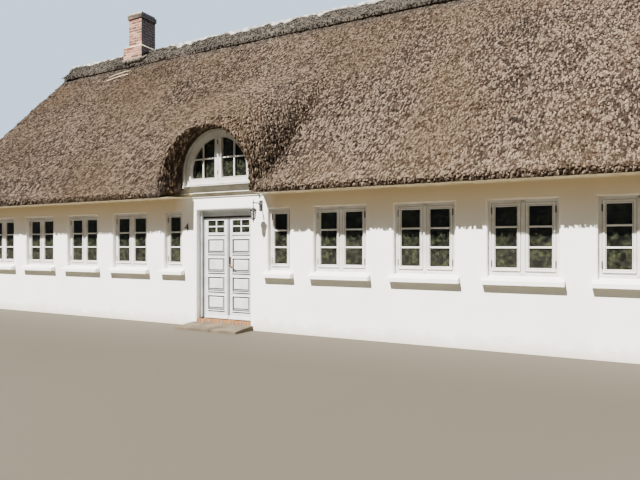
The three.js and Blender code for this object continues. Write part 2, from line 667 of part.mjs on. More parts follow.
function makeDoorFrame() {
  const outer = DOOR_HALF_WIDTH - SEAT_GAP;
  const head = DOOR_HEAD - SEAT_GAP;
  const foot = THRESHOLD_TOP + SEAT_GAP;
  const opening = LEAF_OUTER + LEAF_CLEARANCE;
  const stop = LEAF_OUTER - STOP_LAP;
  const portal = (reach, top) => [[-outer, foot], [-reach, foot], [-reach, top], [reach, top], [reach, foot],
    [outer, foot], [outer, head], [-outer, head]];
  const stopBack = LEAF_FACE - LEAF_CLEARANCE;
  const jambs = alongY(portal(opening, LEAF_HEAD + LEAF_CLEARANCE), stopBack - 1, LEAF_BACK);
  const stops = alongY(portal(stop, LEAF_HEAD - STOP_LAP), JAMB_FACE, stopBack);
  const hinges = [-1, 1].flatMap((side) => HINGE_LEVELS.flatMap((z) => (
    hingeHalf(side, -HINGE_FLAP, z - HINGE_HEIGHT - SEAT_GAP, z - SEAT_GAP))));
  add('door_frame', join([jambs, stops, ...hinges]), greyPaint);
}

// A round bar along a curve through points
function rod(points, radius, steps) {
  const route = new THREE.CatmullRomCurve3(points.map(([x, y, z]) => new THREE.Vector3(x, y, z)));
  const section = new THREE.Shape().absarc(0, 0, radius, 0, 2 * Math.PI);
  const options = { steps, curveSegments: 8, bevelEnabled: false, extrudePath: route };
  return new THREE.ExtrudeGeometry(section, options);
}

function makeHandle() {
  const face = LEAF_FACE - SEAT_GAP;
  const x = HANDLE_X;
  const [low, high] = HANDLE_PLATE;
  const plate = block(x - HANDLE_PLATE_HALF, x + HANDLE_PLATE_HALF, face - 6, face, low, high);
  const out = face - LEVER_OUT;
  const neck = new THREE.CylinderGeometry(10, 10, LEVER_OUT + 8, 12);
  neck.translate(x, face - LEVER_OUT / 2 - 4, LEVER_Z);
  const lever = rod([[x - 4, out, LEVER_Z], [x + LEVER_REACH * 0.35, out, LEVER_Z - 8],
    [x + LEVER_REACH * 0.7, out, LEVER_Z - LEVER_DROP * 0.75],
    [x + LEVER_REACH, out, LEVER_Z - LEVER_DROP]], LEVER_RADIUS, 12);
  add('door_handle', join([plate, neck, lever]), brass);
}

function makeThreshold() {
  const x = DOOR_HALF_WIDTH - SEAT_GAP;
  add('door_threshold', block(-x, x, -HALF_DEPTH, -HALF_DEPTH + WALL, 0, THRESHOLD_TOP), brick);
  const front = -HALF_DEPTH - STEP_OUT;
  const step = block(-STEP_HALF_WIDTH, STEP_HALF_WIDTH, front, -HALF_DEPTH - SEAT_GAP, 0, STEP_TOP);
  add('door_step', step, stone);
}

function makeLamp() {
  const wall = -HALF_DEPTH - SEAT_GAP;
  const out = wall - LAMP_OUT;
  const [low, high] = LAMP_PLATE;
  const [left, right] = [LAMP_X - LAMP_PLATE_HALF, LAMP_X + LAMP_PLATE_HALF];
  const plate = block(left, right, wall - LAMP_PLATE_THICKNESS, wall, low, high);
  const arm = rod([[LAMP_X, wall - 6, LAMP_ARM_Z - 30], [LAMP_X, wall - LAMP_OUT * 0.4, LAMP_ARM_Z + 6],
    [LAMP_X, wall - LAMP_OUT * 0.7, LAMP_ARM_Z], [LAMP_X, out, LAMP_ARM_Z]], 8, 12);
  const stem = cylinderZ(LAMP_X, out, 11, LANTERN_TOP, LAMP_STEM_TOP, 12);
  add('lamp_bracket', join([plate, arm, stem]), iron);
  const profile = [[0, -310], [9, -302], [14, -264], [32, -250], [44, -235], [66, -62], [84, -55], [60, -35],
    [24, -12], [11, 0], [0, 0]].map(([r, z]) => new THREE.Vector2(r, z));
  const lantern = new THREE.LatheGeometry(profile, 6).rotateX(Math.PI / 2);
  add('lamp_lantern', lantern.translate(LAMP_X, out, LANTERN_TOP - SEAT_GAP), iron);
}

makeThatch();
makeRidge();
makeChimney();
makeFrontWalls();
makeBackWall();
makeGable('left', -Math.PI / 2);
makeGable('right', Math.PI / 2);
makeFloors();
makeEaveBoards();
makeDormer();
makeDoorFrame();
makeDoorLeaf('left', -1);
makeDoorLeaf('right', 1);
makeHandle();
makeThreshold();
makeLamp();

export default cottage;
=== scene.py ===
"""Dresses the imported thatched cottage.

The solids give every place and size, in metres. The front of the house looks along -Y, the chimney stands
towards -X, and the origin is on the ground under the middle of the house.
"""

import logging
import math
from collections.abc import Callable, Iterable, Sequence
from dataclasses import dataclass, field
from enum import Enum
from functools import partial

import bpy
import numpy as np
from mathutils import Matrix, Vector


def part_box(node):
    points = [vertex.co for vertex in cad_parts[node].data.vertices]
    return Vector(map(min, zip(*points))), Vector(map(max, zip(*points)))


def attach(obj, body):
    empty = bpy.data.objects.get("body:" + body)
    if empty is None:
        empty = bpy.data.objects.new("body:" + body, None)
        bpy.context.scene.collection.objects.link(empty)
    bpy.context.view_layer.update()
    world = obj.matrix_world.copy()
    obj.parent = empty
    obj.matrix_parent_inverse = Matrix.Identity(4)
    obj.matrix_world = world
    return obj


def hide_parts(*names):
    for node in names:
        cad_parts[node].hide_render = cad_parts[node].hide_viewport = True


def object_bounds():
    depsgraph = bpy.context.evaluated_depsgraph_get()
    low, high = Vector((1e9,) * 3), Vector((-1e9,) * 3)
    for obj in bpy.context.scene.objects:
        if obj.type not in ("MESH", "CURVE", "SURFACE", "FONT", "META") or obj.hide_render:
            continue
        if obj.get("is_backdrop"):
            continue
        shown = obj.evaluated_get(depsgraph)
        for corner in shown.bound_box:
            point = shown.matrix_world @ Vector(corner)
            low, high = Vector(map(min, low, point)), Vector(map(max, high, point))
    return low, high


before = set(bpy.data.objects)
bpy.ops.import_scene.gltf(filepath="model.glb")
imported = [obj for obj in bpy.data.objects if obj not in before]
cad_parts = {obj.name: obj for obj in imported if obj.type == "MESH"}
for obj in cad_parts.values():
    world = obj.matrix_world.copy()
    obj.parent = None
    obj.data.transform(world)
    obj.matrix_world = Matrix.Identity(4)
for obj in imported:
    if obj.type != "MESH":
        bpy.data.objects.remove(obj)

LOG = logging.getLogger("cottage")
SEED = 1907
EAVE = 4.16
EAVE_HEIGHT = 2.8
SLOPE = 1.2
WALL_FACE = -3.5003
STACK_X = -5.945

Point = tuple[float, float, float]
Spans = tuple[float, float, float, float]
Mesh = bpy.types.Object
Socket = bpy.types.NodeSocket


# Modelling by hand


def rest() -> None:
    """Leaves edit mode and deselects everything."""
    active = bpy.context.view_layer.objects.active
    if active is not None and active.mode != "OBJECT":
        bpy.ops.object.mode_set(mode="OBJECT")
    bpy.ops.object.select_all(action="DESELECT")


def pick(piece: Mesh) -> Mesh:
    """Selects one piece alone, makes it active and gives it back."""
    rest()
    piece.select_set(True)
    bpy.context.view_layer.objects.active = piece
    return piece


def settle(piece: Mesh) -> Mesh:
    """Puts a piece's place, turn and size into its mesh, so that its object sits at the origin."""
    pick(piece)
    bpy.ops.object.transform_apply(location=True, rotation=True, scale=True)
    return piece


def shape_with(piece: Mesh, kind: str, **settings: object) -> Mesh:
    """Adds a modifier with its settings and applies it.

    Args:
        piece: the mesh to shape.
        kind: Blender's name for the modifier.
        **settings: values of the modifier's own properties.

    Returns:
        The same piece.
    """
    pick(piece)
    modifier = piece.modifiers.new(kind.title(), kind)
    for name, value in settings.items():
        setattr(modifier, name, value)
    bpy.ops.object.modifier_apply(modifier=modifier.name)
    return piece


def soften(piece: Mesh, width: float, segments: int = 2) -> Mesh:
    """Rounds the sharp edges of a piece."""
    return shape_with(piece, "BEVEL", width=width, segments=segments, limit_method="ANGLE",
                      angle_limit=math.radians(30), use_clamp_overlap=True)


def voxels(piece: Mesh, size: float) -> Mesh:
    """Melts a piece into one skin of small faces and smooths it."""
    shape_with(piece, "REMESH", mode="VOXEL", voxel_size=size)
    return shape_with(piece, "SMOOTH", factor=0.5, iterations=2)


def ripple(piece: Mesh, apart: float, height: float, level: float, **settings: object) -> Mesh:
    """Pushes a surface in and out by a cloudy pattern.

    Args:
        piece: the mesh to shape.
        apart: the size of the swellings.
        height: how far the pattern pushes.
        level: which tone of the pattern stays, from 0, all is pushed out, to 1, all is pushed in.
        **settings: values of the modifier's own properties.

    Returns:
        The same piece.
    """
    texture = bpy.data.textures.new("lumps", "CLOUDS")
    texture.noise_scale = apart
    shape_with(piece, "DISPLACE", texture=texture, strength=height, mid_level=level, **settings)
    bpy.data.textures.remove(texture)
    return piece


def edit_all(piece: Mesh) -> None:
    """Goes into edit mode with the whole piece selected."""
    pick(piece)
    bpy.ops.object.mode_set(mode="EDIT")
    bpy.ops.mesh.select_mode(type="FACE")
    bpy.ops.mesh.select_all(action="SELECT")


def edit_some(piece: Mesh, test: Callable[[object], bool], kind: str = "FACE") -> None:
    """Goes into edit mode with only some faces or edges selected.

    Args:
        piece: the mesh to edit.
        test: says which faces or edges are wanted.
        kind: FACE or EDGE.
    """
    pick(piece)
    bpy.ops.object.mode_set(mode="EDIT")
    bpy.ops.mesh.select_mode(type=kind)
    bpy.ops.mesh.select_all(action="DESELECT")
    bpy.ops.object.mode_set(mode="OBJECT")
    for item in piece.data.polygons if kind == "FACE" else piece.data.edges:
        item.select = test(item)
    bpy.ops.object.mode_set(mode="EDIT")


def weld(piece: Mesh, reach: float, flatten: bool = True) -> Mesh:
    """Merges points that lie within a reach of each other, and the flat faces between them.

    Args:
        piece: the mesh to merge.
        reach: how far apart points may lie to be one.
        flatten: also makes one face of those that lie in a plane.

    Returns:
        The same piece.
    """
    edit_all(piece)
    bpy.ops.mesh.remove_doubles(threshold=reach)
    if flatten:
        bpy.ops.mesh.dissolve_limited(angle_limit=math.radians(0.6))
    rest()
    return piece


def box(name: str, low: Point, high: Point, round_off: float = 0.003, segments: int = 2) -> Mesh:
    """Models a planed bar between two corners.

    Args:
        name: the piece's name.
        low: its lowest corner.
        high: its highest corner.
        round_off: how far its edges are rounded.
        segments: how many faces the rounding has.

    Returns:
        The bar.
    """
    rest()
    centre = [(a + b) / 2 for a, b in zip(low, high)]
    size = [b - a for a, b in zip(low, high)]
    bpy.ops.mesh.primitive_cube_add(size=1, location=centre, scale=size)
    piece = bpy.context.active_object
    piece.name = name
    settle(piece)
    return soften(piece, round_off, segments) if round_off else piece


def grown(spans: Spans, reach: float) -> Spans:
    """Moves every side of a rectangle outwards."""
    left, right, foot, head = spans
    return left - reach, right + reach, foot - reach, head + reach


def ring(name: str, spans: Spans, front: float, depth: float, bar: float, round_off: float = 0.0,
         open_foot: bool = False) -> Mesh:
    """Models a mitred frame that stands in a wall that looks along -Y.

    Args:
        name: the piece's name.
        spans: left, right, foot and head of its outside.
        front: y of its face.
        depth: how far it goes back from there.
        bar: the width of its members.
        round_off: how far its edges are rounded.
        open_foot: leaves the bottom member out, as in a door frame.

    Returns:
        The frame.
    """
    left, right, foot, head = spans
    rest()
    bpy.ops.mesh.primitive_plane_add(size=1, location=((left + right) / 2, front, (foot + head) / 2),
                                     rotation=(math.pi / 2, 0, 0))
    piece = bpy.context.active_object
    piece.name = name
    piece.scale = (right - left, head - foot, 1)
    settle(piece)
    edit_all(piece)
    bpy.ops.mesh.inset(thickness=bar)
    bpy.ops.mesh.delete(type="FACE")
    if open_foot:
        edit_some(piece, lambda face: face.center.z < foot + bar)
        bpy.ops.mesh.delete(type="FACE")
    rest()
    shape_with(piece, "SOLIDIFY", thickness=depth, offset=-1, use_even_offset=True)
    return soften(piece, round_off) if round_off else piece


def raised(name: str, low: Point, high: Point, margin: float, lift: float) -> Mesh:
    """Models a panel whose field stands proud of a sloping margin, for a wall that looks along -Y.

    Args:
        name: the piece's name.
        low: its lowest corner.
        high: its highest corner.
        margin: how wide the margin is.
        lift: how far the field stands out.

    Returns:
        The panel.
    """
    piece = box(name, low, high, 0)
    edit_some(piece, lambda face: face.normal.y < -0.9)
    bpy.ops.mesh.inset(thickness=margin, depth=lift)
    rest()
    return soften(piece, 0.0012, 1)


def bar_along(name: str, points: Sequence[Point], radius: float, sides: int = 3, smooth: bool = True) -> Mesh:
    """Models a round bar along points.

    Args:
        name: the piece's name.
        points: where its middle runs.
        radius: half its thickness.
        sides: the resolution of its section.
        smooth: bends it through the points in place of straight runs.

    Returns:
        The bar as a mesh.
    """
    rest()
    curve = bpy.data.curves.new(name, "CURVE")
    curve.dimensions = "3D"
    spline = curve.splines.new("NURBS" if smooth else "POLY")
    spline.points.add(len(points) - 1)
    for target, point in zip(spline.points, points):
        target.co = (*point, 1)
    if smooth:
        spline.order_u = 3
        spline.use_endpoint_u = True
        spline.resolution_u = 4
    curve.bevel_depth = radius
    curve.bevel_resolution = sides
    curve.use_fill_caps = True
    piece = bpy.data.objects.new(name, curve)
    bpy.context.collection.objects.link(piece)
    pick(piece)
    bpy.ops.object.convert(target="MESH")
    piece = bpy.context.active_object
    piece.name = name
    return piece


def turned(name: str, profile: Sequence[tuple[float, float]], centre: Point, sides: int,
           forwards: bool = False) -> Mesh:
    """Spins a profile round an axis through a centre.

    Args:
        name: the piece's name.
        profile: (radius, height) pairs from the foot to the top.
        centre: where the axis stands.
        sides: how many faces go round it.
        forwards: lays the axis down, so that the top looks along -Y.

    Returns:
        The turned piece.
    """
    rest()
    bpy.ops.mesh.primitive_circle_add(vertices=3, radius=1)
    piece = bpy.context.active_object
    piece.name = name
    piece.data.clear_geometry()
    piece.data.from_pydata([(r, 0, z) for r, z in profile], [(i, i + 1) for i in range(len(profile) - 1)], [])
    pick(piece)
    bpy.ops.object.mode_set(mode="EDIT")
    bpy.ops.mesh.select_all(action="SELECT")
    bpy.ops.mesh.spin(steps=sides, angle=2 * math.pi, center=(0, 0, 0), axis=(0, 0, 1), use_auto_merge=True)
    bpy.ops.mesh.select_all(action="SELECT")
    bpy.ops.mesh.remove_doubles(threshold=0.00005)
    bpy.ops.mesh.normals_make_consistent(inside=False)
    rest()
    piece.location = centre
    piece.rotation_euler.x = math.pi / 2 if forwards else 0.0
    return settle(piece)


def together(name: str, pieces: Iterable[Mesh]) -> Mesh:
    """Joins pieces into the first of them.

    Args:
        name: what the whole is called.
        pieces: what is joined.

    Returns:
        The whole.
    """
    parts = list(pieces)
    pick(parts[0])
    for part in parts[1:]:
        part.select_set(True)
    if len(parts) > 1:
        bpy.ops.object.join()
    parts[0].name = name
    parts[0].data.name = name
    return parts[0]


def twin(piece: Mesh, name: str, place: Matrix) -> Mesh:
    """Copies a piece with its own mesh.

    Args:
        piece: what is copied.
        name: the copy's name.
        place: where the copy's mesh is carried.

    Returns:
        The copy.
    """
    copy = piece.copy()
    copy.data = piece.data.copy()
    copy.name = name
    bpy.context.collection.objects.link(copy)
    copy.data.transform(place)
    return copy


def copy_of_node(node: str, name: str) -> Mesh:
    """Copies a solid of the frame under a new name, with its triangles joined up."""
    copy = bpy.data.objects.new(name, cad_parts[node].data.copy())
    bpy.context.collection.objects.link(copy)
    return weld(copy, 0.00008)


def discard(pieces: Iterable[Mesh]) -> None:
    """Deletes patterns that have been copied to their places."""
    for piece in pieces:
        bpy.data.objects.remove(piece)


def points_of(piece: Mesh) -> np.ndarray:
    """The vertices of a mesh as rows."""
    flat = np.zeros(len(piece.data.vertices) * 3, np.float32)
    piece.data.vertices.foreach_get("co", flat)
    return flat.reshape(-1, 3).astype(float)


def mark(piece: Mesh, name: str, values: np.ndarray) -> None:
    """Writes one number per vertex, for a finish to read."""
    attribute = piece.data.attributes.get(name) or piece.data.attributes.new(name, "FLOAT", "POINT")
    attribute.data.foreach_set("value", np.asarray(values, np.float32))


def join_bricks(name: str, bricks: Sequence[Mesh], tones: Sequence[float], pattern: Mesh) -> Mesh:
    """Joins bricks that each have their own tone.

    Args:
        name: what the whole is called.
        bricks: copies of the pattern.
        tones: the tone of each.
        pattern: the brick that they were copied from, which is deleted.

    Returns:
        The brickwork.
    """
    corners = len(pattern.data.vertices)
    discard([pattern])
    piece = together(name, bricks)
    mark(piece, "tone", np.repeat(tones, corners))
    return piece


def smooth_step(value: np.ndarray, low: float, high: float) -> np.ndarray:
    """Rises smoothly from 0 at low to 1 at high."""
    part = np.clip((value - low) / (high - low), 0, 1)
    return part * part * (3 - 2 * part)


# Finishes


def linear(code: str) -> tuple[float, float, float, float]:
    """Turns an sRGB hex colour into the linear one that the shader reads."""
    parts = [int(code[i:i + 2], 16) / 255 for i in (1, 3, 5)]
    return (*(part / 12.92 if part <= 0.04045 else ((part + 0.055) / 1.055) ** 2.4 for part in parts), 1.0)


def per_metre(millimetres: float) -> float:
    """The scale of a texture whose features are that many millimetres apart."""
    return 1000.0 / millimetres


def put(tree: bpy.types.NodeTree, kind: str, inputs: dict | None = None, stops: Sequence = (),
        **settings: object) -> Socket | None:
    """Adds a node with its settings, inputs and links.

    Args:
        tree: the material's node tree.
        kind: Blender's name for the node, less its first word ShaderNode.
        inputs: by socket name or number, a value, a hex colour or the socket that feeds it.
        stops: places and hex colours, for a colour ramp.
        **settings: values of the node's own properties.

    Returns:
        The first of the node's outputs that is in use.
    """
    made = tree.nodes.new(f"ShaderNode{kind}")
    for name, value in settings.items():
        setattr(made, name, value)
    for socket, value in (inputs or {}).items():
        if isinstance(value, Socket):
            tree.links.new(value, made.inputs[socket])
        else:
            made.inputs[socket].default_value = linear(value) if isinstance(value, str) else value
    if stops:
        ramp = made.color_ramp
        while len(ramp.elements) < len(stops):
            ramp.elements.new(0.5)
        for element, (place, code) in zip(ramp.elements, stops):
            element.position = place
            element.color = linear(code)
    return next((socket for socket in made.outputs if socket.enabled), None)


Put = Callable[..., Socket]
Sockets = dict[str, Socket | float]


@dataclass(frozen=True)
class Finish:
    """A finish that is made once and handed out to every piece that has it."""

    name: str

    def material(self) -> bpy.types.Material:
        """Makes the material at its first use.

        Returns:
            The material.
        """
        if self.name in bpy.data.materials:
            return bpy.data.materials[self.name]
        made = bpy.data.materials.new(self.name)
        made.use_nodes = True
        tree = made.node_tree
        tree.nodes.clear()
        place = put(tree, "TexCoord").node.outputs["Object"]
        shader = put(tree, "BsdfPrincipled", self.surface(partial(put, tree), place))
        put(tree, "OutputMaterial", {"Surface": shader})
        return made

    def surface(self, put: Put, place: Socket) -> Sockets:
        """What the shader's sockets get. Each finish has its own.

        Args:
            put: adds a node to this finish's tree.
            place: where on the house a point lies, in metres.

        Returns:
            A value, or the socket that feeds it, by the name of the shader's socket.
        """
        raise NotImplementedError


def soot_and_shade_on_lee(put: Put, most: float) -> Socket:
    """Painted soot and shade: how dark a face is, up to the most where it faces +X, away from the light."""
    sides = put("SeparateXYZ", {"Vector": put("NewGeometry").node.outputs["True Normal"]})
    return put("MapRange", {"Value": sides, "From Min": 0.2, "From Max": 0.9, "To Max": most})


@dataclass(frozen=True)
class Limewash(Finish):
    """Limewash brushed over rendered brick: dead matt, chalky, with faint brush marks and a soiled foot.

    Tints of dust and painted shade lie under the eave, and of damp and painted shade under the sills.
    """

    name: str = "limewash_on_render"
    clean: str = "#f7f6f4"
    worn: str = "#f2f0ec"
    soil: str = "#a89a80"
    dust: str = "#c6b186"
    damp_and_shade_green: str = "#b9b177"
    dust_and_shade: float = 0.85
    middle: float = 3.3
    gable: float = 9.67
    sill_height: float = 1.6

    def surface(self, put: Put, place: Socket) -> Sockets:
        """Cloudy white, soiled at its foot, painted tan towards the eave and greenish beneath the sills.

        The tan is dust and painted warm shade, and the green is damp and painted shade.
        Setting the tan's share to 0 takes the tan away.

        Args:
            put: adds a node.
            place: where a point lies.

        Returns:
            The shader's inputs.
        """
        clouds = put("TexNoise", {"Vector": place, "Scale": per_metre(900), "Detail": 6.0})
        colour = put("ValToRGB", {"Fac": clouds}, [(0.35, self.worn), (0.6, self.clean)])
        along, deep, height = put("SeparateXYZ", {"Vector": place}).node.outputs
        from_door = put("Math", {0: along}, operation="ABSOLUTE")
        from_middle = put("Math", {0: deep}, operation="ABSOLUTE")
        # Dust and painted warm shade: a tan that grows towards the eave, on the long walls, but not over the
        # door.
        dust_and_shade = put("MapRange", {"Value": height, "From Min": 2.0, "From Max": 2.72, "To Max": self.dust_and_shade})
        for limit in (put("Math", {0: from_middle, 1: self.middle}, operation="GREATER_THAN"),
                      put("Math", {0: from_door, 1: self.gable}, operation="LESS_THAN"),
                      put("MapRange", {"Value": from_door, "From Min": 0.95, "From Max": 1.35})):
            dust_and_shade = put("Math", {0: dust_and_shade, 1: limit}, operation="MULTIPLY")
        splash = put("TexNoise", {"Vector": place, "Scale": per_metre(180), "Detail": 5.0})
        reach = put("Math", {0: splash, 1: 0.5}, operation="MULTIPLY")
        soiled = put("MapRange", {"Value": height, "From Max": reach, "To Min": 0.55, "To Max": 0.0})
        # Damp and painted shade: faces that look down below sill height turn greenish.
        facing = put("NewGeometry").node.outputs["True Normal"]
        facing = put("SeparateXYZ", {"Vector": facing}).node.outputs["Z"]
        beneath = put("MapRange", {"Value": facing, "From Min": -0.9, "From Max": -0.3,
                                   "To Min": 0.9, "To Max": 0.0})
        low_down = put("Math", {0: height, 1: self.sill_height}, operation="LESS_THAN")
        damp = put("Math", {0: beneath, 1: low_down}, operation="MULTIPLY")
        for share, stain_and_shade in ((dust_and_shade, self.dust), (soiled, self.soil), (damp, self.damp_and_shade_green)):
            colour = put("Mix", {0: share, 6: colour, 7: stain_and_shade}, data_type="RGBA")
        brushed = put("TexNoise", {"Vector": place, "Scale": per_metre(45), "Detail": 8.0, "Roughness": 0.6})
        bump = put("Bump", {"Height": brushed, "Strength": 0.5, "Distance": 0.004})
        return {"Base Color": colour, "Normal": bump, "Roughness": 0.92, "Specular IOR Level": 0.25}


@dataclass(frozen=True)
class Reed(Finish):
    """Weathered water reed laid in courses: grey-brown stems, with dark gaps of painted shade that run down
    the slope.
    """

    name: str = "weathered_reed"
    gap: str = "#1d1611"
    shade: str = "#3d3129"
    stem: str = "#594b41"
    bleached: str = "#8b7b6b"
    warm: str = "#4d3d29"
    moss: str = "#403e3b"
    grain: float = 0.30
    grouping: float = 0.8
    lift: float = 0.012
    stem_length: float = 0.150
    stem_width: float = 0.022
    tuft_width: float = 0.045

    def surface(self, put: Put, place: Socket) -> Sockets:
        """The tone attribute says how bleached a bundle is, and a second attribute how much moss and painted
        shade it has.

        Args:
            put: adds a node.
            place: where a point lies.

        Returns:
            The shader's inputs.
        """
        either = put("VectorMath", {0: place}, operation="ABSOLUTE")
        laid = [put("Mapping", {"Vector": either, "Rotation": (-math.atan(SLOPE), 0, 0),
                                "Scale": (width, self.stem_length, width)}, vector_type="TEXTURE")
                for width in (self.stem_width, self.tuft_width)]
        stems = put("TexNoise", {"Vector": laid[0], "Scale": 1.0, "Detail": 3.0, "Roughness": 0.65})
        tufts = put("TexNoise", {"Vector": laid[1], "Scale": 1.0, "Detail": 2.0})
        patches = put("TexNoise", {"Vector": place, "Scale": per_metre(1300), "Detail": 4.0,
                                   "Roughness": 0.6})
        level = put("Attribute", attribute_name="tone").node.outputs["Fac"]
        for pattern, weight in ((tufts, self.grouping), (stems, self.grain * 4), (patches, 0.7)):
            swing = put("Math", {0: pattern, 1: 0.5}, operation="SUBTRACT")
            level = put("Math", {0: swing, 1: weight, 2: level}, operation="MULTIPLY_ADD")
        # The gap and shade stops are painted shade between the stems.
        colour = put("ValToRGB", {"Fac": level},
                     [(0.05, self.gap), (0.35, self.shade), (0.6, self.stem), (0.95, self.bleached)])
        broad = put("TexNoise", {"Vector": place, "Scale": per_metre(2600), "Detail": 3.0})
        sunned = put("MapRange", {"Value": broad, "From Min": 0.42, "From Max": 0.7, "To Max": 0.5})
        # Moss and painted shade, as the roof marks it.
        damp = put("Attribute", attribute_name="damp").node.outputs["Fac"]
        for share, stain_and_shade in ((sunned, self.warm), (damp, self.moss)):
            colour = put("Mix", {0: share, 6: colour, 7: stain_and_shade}, data_type="RGBA")
        bump = put("Bump", {"Height": stems, "Strength": 0.9, "Distance": self.lift})
        return {"Base Color": colour, "Normal": bump, "Roughness": 0.88, "Specular IOR Level": 0.2}


@dataclass(frozen=True)
class Mortar(Finish):
    """Lime mortar that has weathered outdoors: pale, gritty, with grey lichen, and soot and painted shade
    where asked.
    """

    name: str = "weathered_mortar"
    pale: str = "#bdbab2"
    dark: str = "#77736a"
    grit: float = 12.0
    soot: str = "#1d1b1c"
    soot_and_shade: float = 0.0

    def surface(self, put: Put, place: Socket) -> Sockets:
        """Two greys in patches of a hand's size, and grit, and where asked soot and painted shade away from
        the light.

        Args:
            put: adds a node.
            place: where a point lies.

        Returns:
            The shader's inputs.
        """
        patches = put("TexNoise", {"Vector": place, "Scale": per_metre(160), "Detail": 7.0})
        colour = put("ValToRGB", {"Fac": patches}, [(0.4, self.dark), (0.56, self.pale)])
        sand = put("TexNoise", {"Vector": place, "Scale": per_metre(self.grit), "Detail": 4.0})
        bump = put("Bump", {"Height": sand, "Strength": 0.7, "Distance": 0.004})
        soot_and_shade_mix = put("Mix", {0: soot_and_shade_on_lee(put, self.soot_and_shade), 6: colour, 7: self.soot}, data_type="RGBA")
        return {"Base Color": soot_and_shade_mix, "Normal": bump, "Roughness": 0.93}


@dataclass(frozen=True)
class FiredBrick(Finish):
    """Hand-moulded fired clay brick: rough and matt, each brick of its own red, with soot and painted shade
    on its lee.
    """

    name: str
    colours: tuple[str, str, str]
    soot: str = "#302f35"
    soot_and_shade: float = 0.0

    def surface(self, put: Put, place: Socket) -> Sockets:
        """The tone attribute gives each brick its red, and soot and painted shade gather on the faces away
        from the light.

        Args:
            put: adds a node.
            place: where a point lies.

        Returns:
            The shader's inputs.
        """
        tone = put("Attribute", attribute_name="tone").node.outputs["Fac"]
        spots = put("TexNoise", {"Vector": place, "Scale": per_metre(35), "Detail": 6.0})
        swing = put("Math", {0: spots, 1: 0.5}, operation="SUBTRACT")
        level = put("Math", {0: swing, 1: 1.1, 2: tone}, operation="MULTIPLY_ADD")
        colour = put("ValToRGB", {"Fac": level}, list(zip((0.1, 0.5, 0.95), self.colours)))
        # Patches that spread the soot and painted shade.
        grime = put("TexNoise", {"Vector": place, "Scale": per_metre(220), "Detail": 5.0})
        stain_and_shade = put("MapRange", {"Value": grime, "From Min": 0.35, "From Max": 0.65, "To Min": 0.8})
        cover = put("Math", {0: soot_and_shade_on_lee(put, self.soot_and_shade), 1: stain_and_shade}, operation="MULTIPLY")
        soot_and_shade_mix = put("Mix", {0: cover, 6: colour, 7: self.soot}, data_type="RGBA")
        bump = put("Bump", {"Height": spots, "Strength": 0.8, "Distance": 0.004})
        return {"Base Color": soot_and_shade_mix, "Normal": bump, "Roughness": 0.9}


@dataclass(frozen=True)
class GlossPaint(Finish):
    """Brushed oil paint on softwood: satin, with faint upright brush marks and dirt in patches."""

    name: str
    colour: str
    soiled: str
    gloss: float = 0.42

    def surface(self, put: Put, place: Socket) -> Sockets:
        """Streaks that run upright, drawn 9 mm apart, coarser than the bristles, so that they show.

        Args:
            put: adds a node.
            place: where a point lies.

        Returns:
            The shader's inputs.
        """
        drawn = put("Mapping", {"Vector": place, "Scale": (per_metre(9), per_metre(9), per_metre(140))})
        streaks = put("TexNoise", {"Vector": drawn, "Scale": 1.0, "Detail": 4.0})
        patches = put("TexNoise", {"Vector": place, "Scale": per_metre(250), "Detail": 5.0})
        tint = put("ValToRGB", {"Fac": patches}, [(0.3, self.soiled), (0.55, self.colour)])
        rough = put("MapRange", {"Value": patches, "To Min": self.gloss - 0.06, "To Max": self.gloss + 0.12})
        bump = put("Bump", {"Height": streaks, "Strength": 0.25, "Distance": 0.001})
        return {"Base Color": tint, "Roughness": rough, "Normal": bump, "IOR": 1.5}


@dataclass(frozen=True)
class SheetGlass(Finish):
    """Old drawn sheet glass, smooth and a little wavy, with a painted reflection in a mottle of dark and
    olive tones.
    """

    name: str = "drawn_sheet_glass"
    # The three tones of the painted reflection; depth is one of them, not the glass's depth.
    dark: str = "#11120f"
    depth: str = "#25271f"
    green: str = "#42472f"
    cover: float = 0.9

    def surface(self, put: Put, place: Socket) -> Sockets:
        """Waves of 260 mm bend what it mirrors.

        The mottle of 70 mm is a painted reflection of trees, in dark and olive tones: real sheet glass is
        even.

        Args:
            put: adds a node.
            place: where a point lies.

        Returns:
            The shader's inputs.
        """
        waves = put("TexNoise", {"Vector": place, "Scale": per_metre(260), "Detail": 1.0})
        bump = put("Bump", {"Height": waves, "Strength": 0.35, "Distance": 0.01})
        painted_reflection = put("TexNoise", {"Vector": place, "Scale": per_metre(70), "Detail": 4.0, "Roughness": 0.6})
        tint = put("ValToRGB", {"Fac": painted_reflection}, [(0.40, self.dark), (0.54, self.depth), (0.74, self.green)])
        return {"Base Color": tint, "Normal": bump, "Roughness": 0.03, "IOR": 1.52, "Alpha": self.cover}


@dataclass(frozen=True)
class WornStone(Finish):
    """A sandstone slab that feet have worn: warm grey-brown, dusty in its hollows."""

    name: str = "worn_sandstone"
    browns: tuple[str, str, str] = ("#41382d", "#5a4f3e", "#6e6350")

    def surface(self, put: Put, place: Socket) -> Sockets:
        """Three browns in beds of 320 mm, and pits of 22 mm.

        Args:
            put: adds a node.
            place: where a point lies.

        Returns:
            The shader's inputs.
        """
        beds = put("TexNoise", {"Vector": place, "Scale": per_metre(320), "Detail": 7.0, "Roughness": 0.62})
        colour = put("ValToRGB", {"Fac": beds}, list(zip((0.3, 0.5, 0.7), self.browns)))
        pits = put("TexVoronoi", {"Vector": place, "Scale": per_metre(22)})
        bump = put("Bump", {"Height": pits, "Strength": 0.4, "Distance": 0.004})
        return {"Base Color": colour, "Normal": bump, "Roughness": 0.9}


